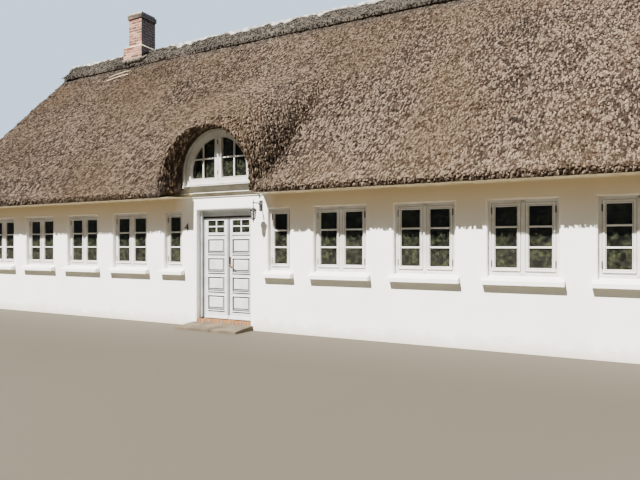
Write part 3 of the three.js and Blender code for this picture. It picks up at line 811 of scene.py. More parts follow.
@dataclass(frozen=True)
class FloorBoards(Finish):
    """Scrubbed pine boards 140 mm wide that run along the house: pale brown with dark joints."""

    name: str = "scrubbed_pine_boards"
    length: float = 3.0
    width: float = 0.14
    joint: float = 0.004

    def surface(self, put: Put, place: Socket) -> Sockets:
        """Boards, each of its own brown, with grain along them.

        Args:
            put: adds a node.
            place: where a point lies.

        Returns:
            The shader's inputs.
        """
        boards = put("TexBrick", {"Vector": place, "Color1": "#a5865f", "Color2": "#8c6d48",
                                  "Mortar": "#2b2118", "Scale": 1.0, "Mortar Size": self.joint,
                                  "Brick Width": self.length, "Row Height": self.width})
        drawn = put("Mapping", {"Vector": place, "Scale": (per_metre(300), per_metre(8), per_metre(8))})
        grain = put("TexNoise", {"Vector": drawn, "Scale": 1.0, "Detail": 5.0}).node.outputs["Color"]
        colour = put("Mix", {0: 0.35, 6: boards, 7: grain}, data_type="RGBA", blend_type="SOFT_LIGHT")
        bump = put("Bump", {"Height": boards.node.outputs["Fac"], "Strength": 0.4, "Distance": -0.002})
        return {"Base Color": colour, "Normal": bump, "Roughness": 0.62}


@dataclass(frozen=True)
class Metal(Finish):
    """A metal with a handled or painted skin: dulled in patches, with fine scratches."""

    name: str = "dulled_brass"
    bright: str = "#7d6b45"
    dull: str = "#372d1e"
    metallic: float = 1.0
    roughness: float = 0.32

    def surface(self, put: Put, place: Socket) -> Sockets:
        """Patches of 30 mm, duller and rougher.

        Args:
            put: adds a node.
            place: where a point lies.

        Returns:
            The shader's inputs.
        """
        patches = put("TexNoise", {"Vector": place, "Scale": per_metre(30), "Detail": 5.0})
        colour = put("ValToRGB", {"Fac": patches}, [(0.35, self.dull), (0.6, self.bright)])
        rough = put("MapRange", {"Value": patches, "From Min": 0.3, "From Max": 0.7,
                                 "To Min": self.roughness + 0.2, "To Max": self.roughness})
        bump = put("Bump", {"Height": patches, "Strength": 0.2, "Distance": 0.001})
        return {"Base Color": colour, "Roughness": rough, "Normal": bump, "Metallic": self.metallic}


LIMEWASH = Limewash()
REED = Reed()
# The bed between the bundles is painted darker than the bundles: painted shade.
REED_BED = Reed("reed_between_the_bundles", gap="#100c09", shade="#241c16", stem="#3d332b",
                bleached="#5c5046", lift=0.03)
RIDGE_STRAW = Reed("heathered_straw", gap="#15120f", shade="#332e29", stem="#4d4741", bleached="#797269",
                   warm="#3d352c", grouping=1.2)
MORTAR = Mortar(pale="#a29e94", dark="#66625a")
# The stack's mortar and bricks darken on faces towards +X, away from the light: soot and painted shade.
SOOT_AND_SHADE_MORTAR = Mortar("stack_mortar", pale="#c2b39b", dark="#a08f79", soot="#2b2b30", soot_and_shade=0.92)
RIDGE_MORTAR = Mortar("ridge_mortar_lichened", pale="#a9a8a4", dark="#66645f", grit=25.0)
FILLET_MORTAR = Mortar("fillet_mortar", pale="#675f55", dark="#453f37", grit=25.0)
CAP_MORTAR = Mortar("cap_mortar", pale="#6a6156", dark="#423c35", soot="#1f1f23", soot_and_shade=0.92)
BRICK = FiredBrick("chimney_brick", ("#55302a", "#824d40", "#a87a66"), soot_and_shade=0.97)
CAP_BRICK = FiredBrick("smoked_cap_brick", ("#211b17", "#3d322a", "#5d5244"), soot_and_shade=0.95)
THRESHOLD_BRICK = FiredBrick("threshold_brick", ("#6a4522", "#7b5229", "#885f38"))
DOOR_PAINT = GlossPaint("pale_grey_door_paint", "#cdd0d2", "#bcbebe", 0.38)
FRAME_PAINT = GlossPaint("light_grey_frame_paint", "#d3d2cf", "#c1beb5")
CREAM_PAINT = GlossPaint("cream_board_paint", "#d8cba8", "#b8a478", 0.5)
FASCIA_PAINT = GlossPaint("greyed_cream_fascia_paint", "#d9d6cc", "#c6c1b2", 0.5)
# Dark strips of grime and painted shade in the quirks, seams and rebates of the joinery.
QUIRK = GlossPaint("grimy_quirks_of_the_joinery", "#252628", "#1b1b1c", 0.7)
# Painted shade: the cheek's paint is a darker grey than the frames', as the cheek lies in shade.
CHEEK_PAINT = GlossPaint("shaded_cheek_paint", "#a3a198", "#8b887c", 0.5)
PORCELAIN = GlossPaint("lamp_porcelain", "#e9e4d6", "#d8d0bc", 0.3)
HAZEL = GlossPaint("peeled_hazel_rod", "#d8c9a8", "#a39070", 0.7)
GLASS = SheetGlass()
# The lantern's panes carry the same painted reflection, paler.
LANTERN_GLASS = SheetGlass("lantern_glass", depth="#8a8f86", cover=0.35)
STONE = WornStone()
BOARDS = FloorBoards()
BRASS = Metal()
IRON = Metal("black_painted_iron", bright="#333436", dull="#4a4744", metallic=0.2, roughness=0.45)


def dress(piece: Mesh, finish: Finish, slot: str, replaces: Sequence[str] = (), body: str = "root") -> Mesh:
    """Gives a finished piece its material and its body, and reports it with its slot.

    Args:
        piece: the finished mesh.
        finish: what its surface is.
        slot: the record's slot that it takes its finish from, which is only named in the log line.
        replaces: the solids that it stands for.
        body: the body that it moves with.

    Returns:
        The same piece.
    """
    piece.data.materials.clear()
    piece.data.materials.append(finish.material())
    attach(piece, body)
    if replaces:
        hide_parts(*replaces)
    LOG.info("%s: %d faces, %s, rides on %s", piece.name, len(piece.data.polygons), slot, body)
    return piece


def dress_node(node: str, finish: Finish, round_off: float = 0.0) -> None:
    """Gives a solid that stays its material.

    Args:
        node: the solid's name.
        finish: what its surface is.
        round_off: how far its edges are rounded, by modifiers that stay on it.
    """
    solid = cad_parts[node]
    for material_slot in solid.material_slots:
        material_slot.material = finish.material()
    if round_off:
        merged = solid.modifiers.new("Weld", "WELD")
        merged.merge_threshold = 0.00008
        bevel = solid.modifiers.new("Bevel", "BEVEL")
        bevel.width = round_off
        bevel.segments = 3
        bevel.limit_method = "ANGLE"
        bevel.angle_limit = math.radians(30)
    LOG.info("%s: the solid stays, as %s", node, finish.name)


# Thatch


@dataclass
class Roofing:
    """The thatch of both slopes: a lumpy bed with reed bundles on it."""

    verge: float = 9.95
    eave_low: float = 2.765
    soffit_rise: float = 0.045
    soffit_depth: float = 0.56
    shaded_rise: float = 0.2
    lit_rise: float = 0.65
    push_out: float = 0.075
    rim_half: float = 1.215
    rim_rise: float = 1.405
    rim_power: float = 2.2
    flare_end: float = 3.86
    cover: float = 0.028
    seam: float = 0.07
    hood_half: float = 1.37
    hood_spread: float = 0.22
    bundle_size: Point = (0.031, 0.165, 0.034)
    lumps: tuple[tuple[float, float], ...] = ((1.1, 0.045), (0.32, 0.03), (0.12, 0.02))
    # Where the valley runs on the hood's side away from the light, which gets moss and painted shade.
    lee_backs: tuple[float, ...] = (0.0, 0.4, 0.8, 1.2, 1.7, 2.8)
    lee_sides: tuple[float, ...] = (0.98, 0.95, 0.86, 0.73, 0.52, 0.28)
    fringe_count: int = 3600
    rng: np.random.Generator = field(default_factory=lambda: np.random.default_rng(SEED))

    def dampness(self, points: np.ndarray) -> np.ndarray:
        """How much moss and painted shade the reed gets: most in the valleys beside the hood and under the
        ridge.

        Args:
            points: places on the roof, in rows.

        Returns:
            A share for each.
        """
        x, y = points[:, 0], points[:, 1]
        side = x / (self.hood_half + self.hood_spread * (EAVE + y))
        back = EAVE + y
        lee_line = np.interp(back, self.lee_backs, self.lee_sides)
        # Moss and painted shade in the valleys beside the hood, most on its side away from the light, and
        # under the ridge roll.
        lee = 0.18 * np.exp(-((side - lee_line) / 0.16) ** 2) * (1 - smooth_step(back, 1.6, 3.0))
        luff = 0.3 * np.exp(-((side + 1.0) / 0.12) ** 2) * (1 - smooth_step(back, 0.8, 2.2))
        under_ridge = 0.5 * (1 - smooth_step(np.abs(y), 0.42, 0.60))
        return np.clip((lee + luff) * (y < 0) + under_ridge, 0, 0.9)

    def bed(self, node: str, name: str, voxel: float) -> Mesh:
        """Models the lumpy body of a slope.

        Args:
            node: the solid that it follows.
            name: the piece's name.
            voxel: the size of its faces.

        Returns:
            The bed, inside the solid's box.
        """
        piece = copy_of_node(node, name)
        beyond = self.seam if node.endswith("front") else -self.seam
        for vertex in piece.data.vertices:
            if abs(vertex.co.y) < 0.001:
                vertex.co.y = beyond
        voxels(piece, voxel)
        for apart, height in self.lumps:
            ripple(piece, apart, height, 0.55)
        points = points_of(piece)
        self.shape_eave(points)
        self.round_lip(points)
        self.keep_in(points, self.cover)
        piece.data.vertices.foreach_set("co", points.astype(np.float32).ravel())
        piece.data.update()
        mark(piece, "tone", np.full(len(points), 0.42))
        mark(piece, "damp", self.dampness(points))
        return piece

    def shape_eave(self, points: np.ndarray) -> None:
        """Brings the eave's rounded edge out to its line and lifts its under side towards the wall.

        Args:
            points: the bed's vertices in rows, which are moved.
        """
        depth = EAVE - np.abs(points[:, 1])
        points[:, 1] += (1 - smooth_step(depth, 0.02, 0.35)) * np.sign(points[:, 1]) * self.push_out
        x = points[:, 0]
        shaded = self.shaded_rise * (1 - smooth_step(-x, 1.2, 1.5)) * (x < 0)
        lit = self.lit_rise * (1 - smooth_step(x, 1.14, 1.34)) * (x > 0)
        rise = self.soffit_rise + np.where(points[:, 1] < 0, shaded + lit, 0.0)
        low = self.eave_low + 0.018 + rise * np.clip((depth - 0.06) / self.soffit_depth, 0, 1)
        points[:, 2] = np.maximum(points[:, 2], low)

    def from_rim(self, points: np.ndarray) -> np.ndarray:
        """How far points lie from the middle of the arch, where 1 is its rim."""
        parts = points[:, (0, 2)] - (0.0, EAVE_HEIGHT)
        shares = np.abs(parts / (self.rim_half, self.rim_rise)) ** self.rim_power
        return shares.sum(axis=1) ** (1 / self.rim_power)

    def round_lip(self, points: np.ndarray) -> None:
        """Draws the hood's outside in towards the rim at the eave, as a rounded lip.

        Args:
            points: the bed's vertices in rows, which are moved.
        """
        distance = self.from_rim(points)
        near = smooth_step(-points[:, 1], EAVE - 0.30, EAVE - 0.03)
        share = 0.85 * near * (1 - smooth_step(distance, 1.18, 1.45))
        drawn = np.where(distance > 1, (1 + (distance - 1) * (1 - share)) / distance.clip(0.5), 1.0)
        points[:, 0] *= drawn
        points[:, 2] = EAVE_HEIGHT + (points[:, 2] - EAVE_HEIGHT) * drawn

    def keep_in(self, points: np.ndarray, cover: float = 0.0) -> None:
        """Keeps points inside the solids' box.

        Args:
            points: vertices in rows, which are moved.
            cover: the room that is left at the sides for what lies on them.
        """
        points[:, 0] = np.clip(points[:, 0], cover - self.verge, self.verge - cover)
        points[:, 1] = np.clip(points[:, 1], cover - EAVE, EAVE - cover)
        points[:, 2] = np.maximum(points[:, 2], self.eave_low)

    @staticmethod
    def bundle() -> tuple[np.ndarray, np.ndarray]:
        """Models one bundle of reed ends: thick at its cut foot and drawn to a point that lies in the bed.

        Returns:
            Its corners, one unit across each way, and its triangles.
        """
        rest()
        bpy.ops.mesh.primitive_cone_add(vertices=3, radius1=1, radius2=0, depth=1,
                                        rotation=(-math.pi / 2, 0, 0))
        piece = settle(bpy.context.active_object)
        rest()
        shape = points_of(piece)
        low, high = shape.min(axis=0), shape.max(axis=0)
        shape = (shape - low) / (high - low) - 0.5
        shape[shape[:, 1] > 0, 2] = -0.5
        faces = np.array([tuple(face.vertices) for face in piece.data.polygons])
        discard([piece])
        return shape, faces

    def spread(self, surface: Mesh, count: int, weigh: Callable[[np.ndarray, np.ndarray], np.ndarray]
               ) -> tuple[np.ndarray, np.ndarray]:
        """Picks places on a surface.

        Args:
            surface: the mesh to lie on.
            count: how many places.
            weigh: from face centres and normals, how thickly each face is covered.

        Returns:
            Places and their normals.
        """
        faces = surface.data.polygons
        centres, normals, areas = (np.zeros(len(faces) * n, np.float32) for n in (3, 3, 1))
        for name, values in (("center", centres), ("normal", normals), ("area", areas)):
            faces.foreach_get(name, values)
        centres, normals = centres.reshape(-1, 3).astype(float), normals.reshape(-1, 3).astype(float)
        share = areas * weigh(centres, normals)
        chosen = self.rng.choice(len(faces), count, p=share / share.sum())
        spots, up = centres[chosen], normals[chosen]
        jitter = self.rng.uniform(-0.5, 0.5, (count, 3)) * np.sqrt(areas[chosen])[:, None] * 1.2
        jitter -= up * np.sum(jitter * up, axis=1)[:, None]
        return spots + jitter, up

    def gathered(self, name: str, spots: np.ndarray, extent: np.ndarray, axes: np.ndarray) -> Mesh:
        """Makes one mesh of many bundles.

        Args:
            name: the piece's name.
            spots: where each lies.
            extent: how wide, long and thick each is.
            axes: which ways its width, length and thickness run.

        Returns:
            The mesh, kept inside the solids' box.
        """
        shape, faces = self.bundle()
        points = np.einsum("nki,nij->nkj", shape[None, :, :] * extent[:, None, :], axes) + spots[:, None, :]
        points = points.reshape(-1, 3)
        self.keep_in(points)
        loops = (faces.ravel()[None, :] + len(shape) * np.arange(len(spots))[:, None]).ravel()
        data = bpy.data.meshes.new(name)
        data.vertices.add(len(points))
        data.loops.add(len(loops))
        data.polygons.add(len(loops) // 3)
        data.vertices.foreach_set("co", points.astype(np.float32).ravel())
        data.loops.foreach_set("vertex_index", loops.astype(np.int32))
        data.polygons.foreach_set("loop_start", np.arange(0, len(loops), 3, dtype=np.int32))
        data.update(calc_edges=True)
        piece = bpy.data.objects.new(name, data)
        bpy.context.collection.objects.link(piece)
        return piece

    def lay(self, name: str, spots: np.ndarray, up: np.ndarray, yaw: float, size: float = 1.0,
            tone: float = 0.61) -> Mesh:
        """Lays bundles on a surface with their feet down the slope.

        Args:
            name: the piece's name.
            spots: where each lies.
            up: the surface's normal there.
            yaw: how far they stray from straight down, in degrees.
            size: how big they are against the usual bundle.
            tone: how bleached they are on average.

        Returns:
            All the bundles as one mesh.
        """
        count = len(spots)
        fall = -np.array([0.0, 0.0, 1.0]) + up * up[:, 2:3]
        fall += self.rng.normal(0, 0.02, fall.shape)
        fall -= up * np.sum(fall * up, axis=1)[:, None]
        fall /= np.linalg.norm(fall, axis=1)[:, None]
        side = np.cross(fall, up)
        angle = np.radians(self.rng.normal(0, yaw, count))[:, None]
        along = -(fall * np.cos(angle) + side * np.sin(angle))
        extent = [usual * self.rng.uniform(0.6, 1.5, count) * size for usual in self.bundle_size]
        axes = np.stack([np.cross(along, up), along, up], axis=1)
        piece = self.gathered(name, spots, np.stack(extent, axis=1), axes)
        tones = np.clip(self.rng.normal(tone, 0.40, count) + 0.012 * spots[:, 0], 0, 1)
        mark(piece, "tone", np.repeat(tones, len(piece.data.vertices) // count))
        mark(piece, "damp", self.dampness(points_of(piece)))
        return piece

    def fringe(self, name: str, side: int) -> Mesh:
        """Models the reed tips that hang ragged from the eave.

        Args:
            name: the piece's name.
            side: -1 for the front and 1 for the back.

        Returns:
            The tips as one mesh.
        """
        count = self.fringe_count
        x = self.rng.uniform(0.05 - self.verge, self.verge - 0.05, count)
        if side < 0:
            beside = np.sign(x) * self.rng.uniform(self.rim_half, self.verge, count)
            x = np.where(np.abs(x) < self.rim_half, beside, x)
        tuft = 0.5 + 0.5 * np.sin(x * 41.0) * np.sin(x * 17.3 + 1.0)
        hang = self.rng.uniform(0.0, 0.012, count) + 0.034 * tuft * self.rng.uniform(0.3, 1.0, count)
        length = self.rng.uniform(0.09, 0.16, count)
        down = np.stack([self.rng.normal(0, 0.16, count), np.full(count, side * 0.66),
                         np.full(count, -0.75)], axis=1)
        down /= np.linalg.norm(down, axis=1)[:, None]
        wide = np.tile(np.array([1.0, 0.0, 0.0]), (count, 1))
        edge = np.stack([x, np.full(count, side * (EAVE - 0.034)),
                         self.eave_low + 0.030 + self.rng.uniform(0, 0.03, count)], axis=1)
        extent = np.stack([self.rng.uniform(0.010, 0.024, count), length,
                           self.rng.uniform(0.010, 0.022, count)], axis=1)
        spots = edge + down * (hang - length / 2)[:, None]
        axes = np.stack([wide, down, np.cross(wide, down) * side], axis=1)
        piece = self.gathered(name, spots, extent, axes)
        edit_all(piece)
        bpy.ops.mesh.normals_make_consistent(inside=False)
        rest()
        corners = len(piece.data.vertices) // count
        mark(piece, "tone", np.repeat(np.clip(self.rng.normal(0.42, 0.22, count), 0, 1), corners))
        mark(piece, "damp", np.full(corners * count, 0.1))
        return piece

    def outside(self, centres: np.ndarray, normals: np.ndarray) -> np.ndarray:
        """Bundles cover what the rain reaches, more thickly at the eave, and little under the hood.

        Args:
            centres: the middles of the bed's faces.
            normals: which way they look.

        Returns:
            How thickly each is covered.
        """
        weight = (normals[:, 2] > 0.12).astype(float)
        sideways = (normals[:, 2] > -0.35) & (np.abs(normals[:, 0]) > 0.5)
        weight += (sideways & (centres[:, 2] > self.eave_low)) * 0.8
        edge = (np.abs(centres[:, 1]) > EAVE - 0.12) & (normals[:, 2] > -0.5)
        x, up = centres[:, 0], centres[:, 2] - EAVE_HEIGHT
        about_arch = (centres[:, 1] < -3.2) & (self.from_rim(centres) < 1.2)
        outwards = (normals[:, 0] * x + normals[:, 2] * up) / np.hypot(x, up).clip(0.01)
        at_flare = centres[:, 1] < -self.flare_end
        lip = (outwards > 0.0) & at_flare & (normals[:, 2] > -0.5)
        flare = at_flare & (up > 0.12)
        return np.where(about_arch, np.where((outwards > 0.25) | lip, 1.2, 0.6 * flare), weight + edge * 0.8)

    def build(self) -> None:
        """Builds both slopes, with the bundles of each in parts."""
        for side, way, voxel, parts, count, size in (("front", -1, 0.085, 3, 32000, 1.0),
                                                     ("back", 1, 0.125, 2, 18000, 1.25)):
            node = f"thatch_{side}"
            bed = self.bed(node, f"{node}_bed", voxel)
            dress(bed, REED_BED, "reed_thatch", [node])
            for index in range(parts):
                spots, up = self.spread(bed, count, self.outside)
                dress(self.lay(f"{node}_bundles_{index + 1}", spots, up, 9, size), REED, "reed_thatch")
            dress(self.fringe(f"{node}_fringe", way), REED, "reed_thatch")


@dataclass
class Ridge:
    """A saddle of straw over the top, bedded and capped with mortar."""

    roofing: Roofing
    voxel: float = 0.052
    mortar_voxel: float = 0.028
    end: float = 9.17
    foot: float = 0.385
    roll: float = 0.058
    lift: float = 0.075
    lumps: tuple[tuple[float, float], ...] = ((0.5, 0.045), (0.16, 0.045), (0.07, 0.03))
    mortar_lumps: tuple[tuple[float, float], ...] = ((0.3, 0.02), (0.06, 0.015))

    def foot_roll(self, side: int) -> Mesh:
        """Models the roll of straw along the foot of the saddle, which stands off the thatch.

        Args:
            side: -1 for the front and 1 for the back.

        Returns:
            The roll.
        """
        points = []
        for step in range(int(self.end * 4) + 1):
            y = self.foot + self.roofing.rng.normal(0, 0.008)
            z = EAVE_HEIGHT + SLOPE * (EAVE - y) + self.lift + self.roofing.rng.normal(0, 0.008)
            points.append((min(-self.end + step * 0.5, self.end), side * y, z))
        return bar_along("foot_roll", points, self.roll, 3)

    def mortar_edge(self, x: np.ndarray) -> np.ndarray:
        """How far from the top the mortar reaches down: in scallops, and not at the stack."""
        edge = 0.112 + 0.062 * np.abs(np.sin(x * 2.1 + 0.7 * np.sin(x * 0.9))) + 0.016 * np.sin(x * 13.0)
        return edge * smooth_step(np.abs(x - STACK_X), 0.5, 1.5)

    def mortar(self, saddle: Mesh, name: str, low: float, high: float) -> Mesh:
        """Models a run of mortar trowelled over the top of the saddle.

        Args:
            saddle: the straw that it lies on.
            name: the piece's name.
            low: x of its left end.
            high: x of its right end.

        Returns:
            The mortar.
        """
        piece = twin(saddle, name, Matrix.Identity(4))
        edit_some(piece, lambda face: not (low < face.center.x < high and face.normal.z > 0.2
                                           and abs(face.center.y) < self.mortar_edge(face.center.x)))
        bpy.ops.mesh.delete(type="FACE")
        rest()
        shape_with(piece, "SOLIDIFY", thickness=0.060, offset=0.4)
        voxels(piece, self.mortar_voxel)
        for apart, height in self.mortar_lumps:
            ripple(piece, apart, height, 0.6)
        return piece

    def build(self) -> None:
        """Builds the saddle, its loose straw and the two runs of mortar."""
        saddle = together("ridge_saddle", [copy_of_node("ridge_roll", "ridge_saddle"), self.foot_roll(-1),
                                           self.foot_roll(1)])
        voxels(saddle, self.voxel)
        for apart, height in self.lumps:
            ripple(saddle, apart, height, 0.6)
        count = len(saddle.data.vertices)
        mark(saddle, "tone", np.full(count, 0.45))
        mark(saddle, "damp", np.zeros(count))
        dress(saddle, RIDGE_STRAW, "ridge_straw", ["ridge_roll"])
        runs = {}
        for side in ("left", "right"):
            low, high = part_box(f"ridge_strip_{side}")
            runs[side] = (low[0], high[0])

        def bare(centres: np.ndarray, normals: np.ndarray) -> np.ndarray:
            """Straw lies where no mortar covers it.

            Args:
                centres: the middles of the saddle's faces.
                normals: which way they look.

            Returns:
                How thickly each is covered.
            """
            x = centres[:, 0]
            covered = np.any([(x > low) & (x < high) for low, high in runs.values()], axis=0)
            covered &= np.abs(centres[:, 1]) < self.mortar_edge(x) - 0.02
            return (normals[:, 2] > 0.1) * np.where(covered, 0.02, 1.0)

        spots, up = self.roofing.spread(saddle, 9000, bare)
        straw = self.roofing.lay("ridge_loose_straw", spots, up, 40, 0.8, 0.5)
        dress(straw, RIDGE_STRAW, "ridge_straw")
        for side, (low, high) in runs.items():
            dress(self.mortar(saddle, f"ridge_mortar_{side}", low, high), RIDGE_MORTAR, "ridge_mortar",
                  [f"ridge_strip_{side}"])


# Chimney


@dataclass
class Chimney:
    """A brick stack: shaft, wider plinth with a sloped shoulder, and a corbelled cap."""

    half: tuple[float, float] = (0.272, 0.295)
    floor: float = 0.1003
    roof_line: float = 7.45
    plinth_top: float = 7.98
    lip: float = 0.115
    cap_foot: float = 8.86
    cap_lip: float = 0.03
    cap_step: float = 0.066
    top: float = 9.06
    flue: float = 0.13
    flue_depth: float = 0.9
    brick: Point = (0.228, 0.108, 0.061)
    joint: float = 0.018
    recess: float = 0.008
    rng: np.random.Generator = field(default_factory=lambda: np.random.default_rng(SEED + 1))

    def block(self, name: str, lip: float, foot: float, head: float, round_off: float = 0.0) -> Mesh:
        """Models a square block that stands out from the shaft by a lip, between two heights."""
        x, y = (half + lip for half in self.half)
        return box(name, (STACK_X - x, -y, foot), (STACK_X + x, y, head), round_off)

    def course(self, pattern: Mesh, z: float, lip: float, flip: bool, tones: list[float]) -> list[Mesh]:
        """Lays one course of bricks that wrap round the stack.

        Args:
            pattern: a brick of unit size at the origin.
            z: the foot of the course.
            lip: how far the course stands out from the shaft.
            flip: turns the bond round, as in every second course.
            tones: gets the tone of each brick.

        Returns:
            The bricks.
        """
        _, header, height = self.brick
        x, y = (half + lip for half in self.half)
        laid = []
        for turn, (along, out) in enumerate(((x, y), (y, x)) * 2):
            length = (2 * along - header - 2 * self.joint) / 2
            start = header + self.joint - along if flip else -along
            for index in range(2):
                middle = start + index * (length + self.joint) + length / 2
                slip = self.rng.uniform(-0.0015, 0.0015)
                place = (Matrix.Translation((STACK_X, 0, z)) @ Matrix.Rotation(turn * math.pi / 2, 4, "Z")
                         @ Matrix.Translation((middle, -out + header / 2 + slip, height / 2))
                         @ Matrix.Diagonal((length, header, height, 1)))
                laid.append(twin(pattern, "brick", place))
                tones.append(float(np.clip(self.rng.normal(0.5, 0.32), 0, 1)))
        return laid

    def wall_of(self, name: str, foot: float, head: float, lip: float) -> Mesh:
        """Lays courses between two heights, of bricks with worn arrises.

        Args:
            name: the brickwork's name.
            foot: its lowest height.
            head: its highest height.
            lip: how far it stands out from the shaft.

        Returns:
            The brickwork.
        """
        pattern = box("brick_pattern", (-0.5, -0.5, -0.5), (0.5, 0.5, 0.5), 0)
        size = Matrix.Diagonal((*self.brick, 1))
        pattern.data.transform(size)
        soften(pattern, 0.004)
        pattern.data.transform(size.inverted())
        rows = max(1, round((head - foot) / (self.brick[2] + self.joint)))
        pitch = (head - foot + self.joint) / rows
        bricks, tones = [], []
        for row in range(rows):
            bricks += self.course(pattern, foot + row * pitch, lip, row % 2 == 1, tones)
        return join_bricks(name, bricks, tones, pattern)

    def core(self) -> Mesh:
        """Models the mortar inside the bricks, from the floor to the mouth of the flue.

        Returns:
            The shaft, the plinth and its sloped shoulder as one piece.
        """
        shaft = self.block("chimney_core", -self.recess, self.floor, self.top - 0.004)
        edit_some(shaft, lambda face: face.normal.z > 0.9)
        bpy.ops.mesh.inset(thickness=self.half[0] - self.recess - self.flue)
        bpy.ops.mesh.extrude_region_move(TRANSFORM_OT_translate={"value": (0, 0, -self.flue_depth)})
        rest()
        lip = self.lip - self.recess
        plinth = self.block("plinth_core", lip, self.roof_line, self.plinth_top - 0.04, 0.004)
        lip += 0.022
        head = self.plinth_top + 0.050
        shoulder = self.block("shoulder", lip, self.plinth_top - 0.050, head)
        edit_some(shoulder, lambda face: face.normal.z > 0.9)
        narrower = [(half + 0.004) / (half + lip) for half in self.half]
        bpy.ops.transform.resize(value=(*narrower, 1), center_override=(STACK_X, 0, head))
        rest()
        return together("chimney_mortar", [shaft, plinth, soften(shoulder, 0.006)])

    def fillet(self) -> Mesh:
        """Models the mortar that was thrown against the stack where it leaves the thatch.

        Returns:
            The fillet, which climbs over the ridge on both sides.
        """
        foot, climb = self.roof_line + 0.05, 0.34
        reach_x, reach_y = (half + self.lip for half in self.half)
        parts = []
        for side in (-1, 1):
            level = [(STACK_X + reach_x * step / 5, side * reach_y, foot + 0.02 * (step % 2))
                     for step in range(-5, 6)]
            parts.append(bar_along("fillet_front", level, 0.075, 2))
            up = [(STACK_X + side * reach_x, -reach_y + 2 * reach_y * step / 8,
                   foot + climb * (1 - abs(step - 4) / 4)) for step in range(9)]
            parts.append(bar_along("fillet_side", up, 0.07, 2, smooth=False))
        piece = together("chimney_fillet", parts)
        shape_with(piece, "REMESH", mode="VOXEL", voxel_size=0.02)
        for apart, height in ((0.25, 0.04), (0.07, 0.025)):
            ripple(piece, apart, height, 0.6)
        return piece

    def tube(self, name: str, lip: float, foot: float, head: float) -> Mesh:
        """Models a square tube round the flue.

        Args:
            name: the piece's name.
            lip: how far it stands out from the shaft.
            foot: its lowest height.
            head: its highest height.

        Returns:
            The tube.
        """
        piece = self.block(name, lip, foot, head)
        edit_some(piece, lambda face: abs(face.normal.z) > 0.9)
        bpy.ops.mesh.inset(thickness=self.half[0] + lip - self.flue)
        bpy.ops.mesh.bridge_edge_loops()
        rest()
        return piece

    def build(self) -> None:
        """Builds the stack and the fillet that closes it to the thatch."""
        dress(self.core(), SOOT_AND_SHADE_MORTAR, "red_brick", ["chimney"])
        shaft = self.wall_of("chimney_shaft_bricks", self.plinth_top, self.cap_foot, 0.0)
        dress(shaft, BRICK, "red_brick")
        low, high = self.roof_line + 0.01, self.plinth_top - 0.052
        dress(self.wall_of("chimney_plinth_bricks", low, high, self.lip), BRICK, "red_brick")
        step = self.top - self.cap_step
        cap = together("chimney_cap_bricks", [
            self.wall_of("cap", self.cap_foot, step - 0.004, self.cap_lip),
            self.wall_of("cap_top", step, self.top - 0.012, -0.012),
            self.tube("flaunch", -0.03, self.top - 0.014, self.top),
        ])
        dress(cap, CAP_BRICK, "red_brick")
        bed = self.tube("chimney_cap_mortar", self.cap_lip - self.recess, self.cap_foot + 0.004, step)
        dress(bed, CAP_MORTAR, "red_brick")
        dress(self.fillet(), FILLET_MORTAR, "ridge_mortar")


# Walls and windows


class WallSide(Enum):
    """The outer walls, each with the turn that brings it from a wall that looks along -Y."""

    FRONT = (0.0, 0.0)
    BACK = (math.pi, 0.0)
    LEFT = (-math.pi / 2, -6.2)
    RIGHT = (math.pi / 2, 6.2)

    @property
    def place(self) -> Matrix:
        """Carries a piece from the front wall to this one."""
        turn, shift = self.value
        return Matrix.Translation((shift, 0, 0)) @ Matrix.Rotation(turn, 4, "Z")


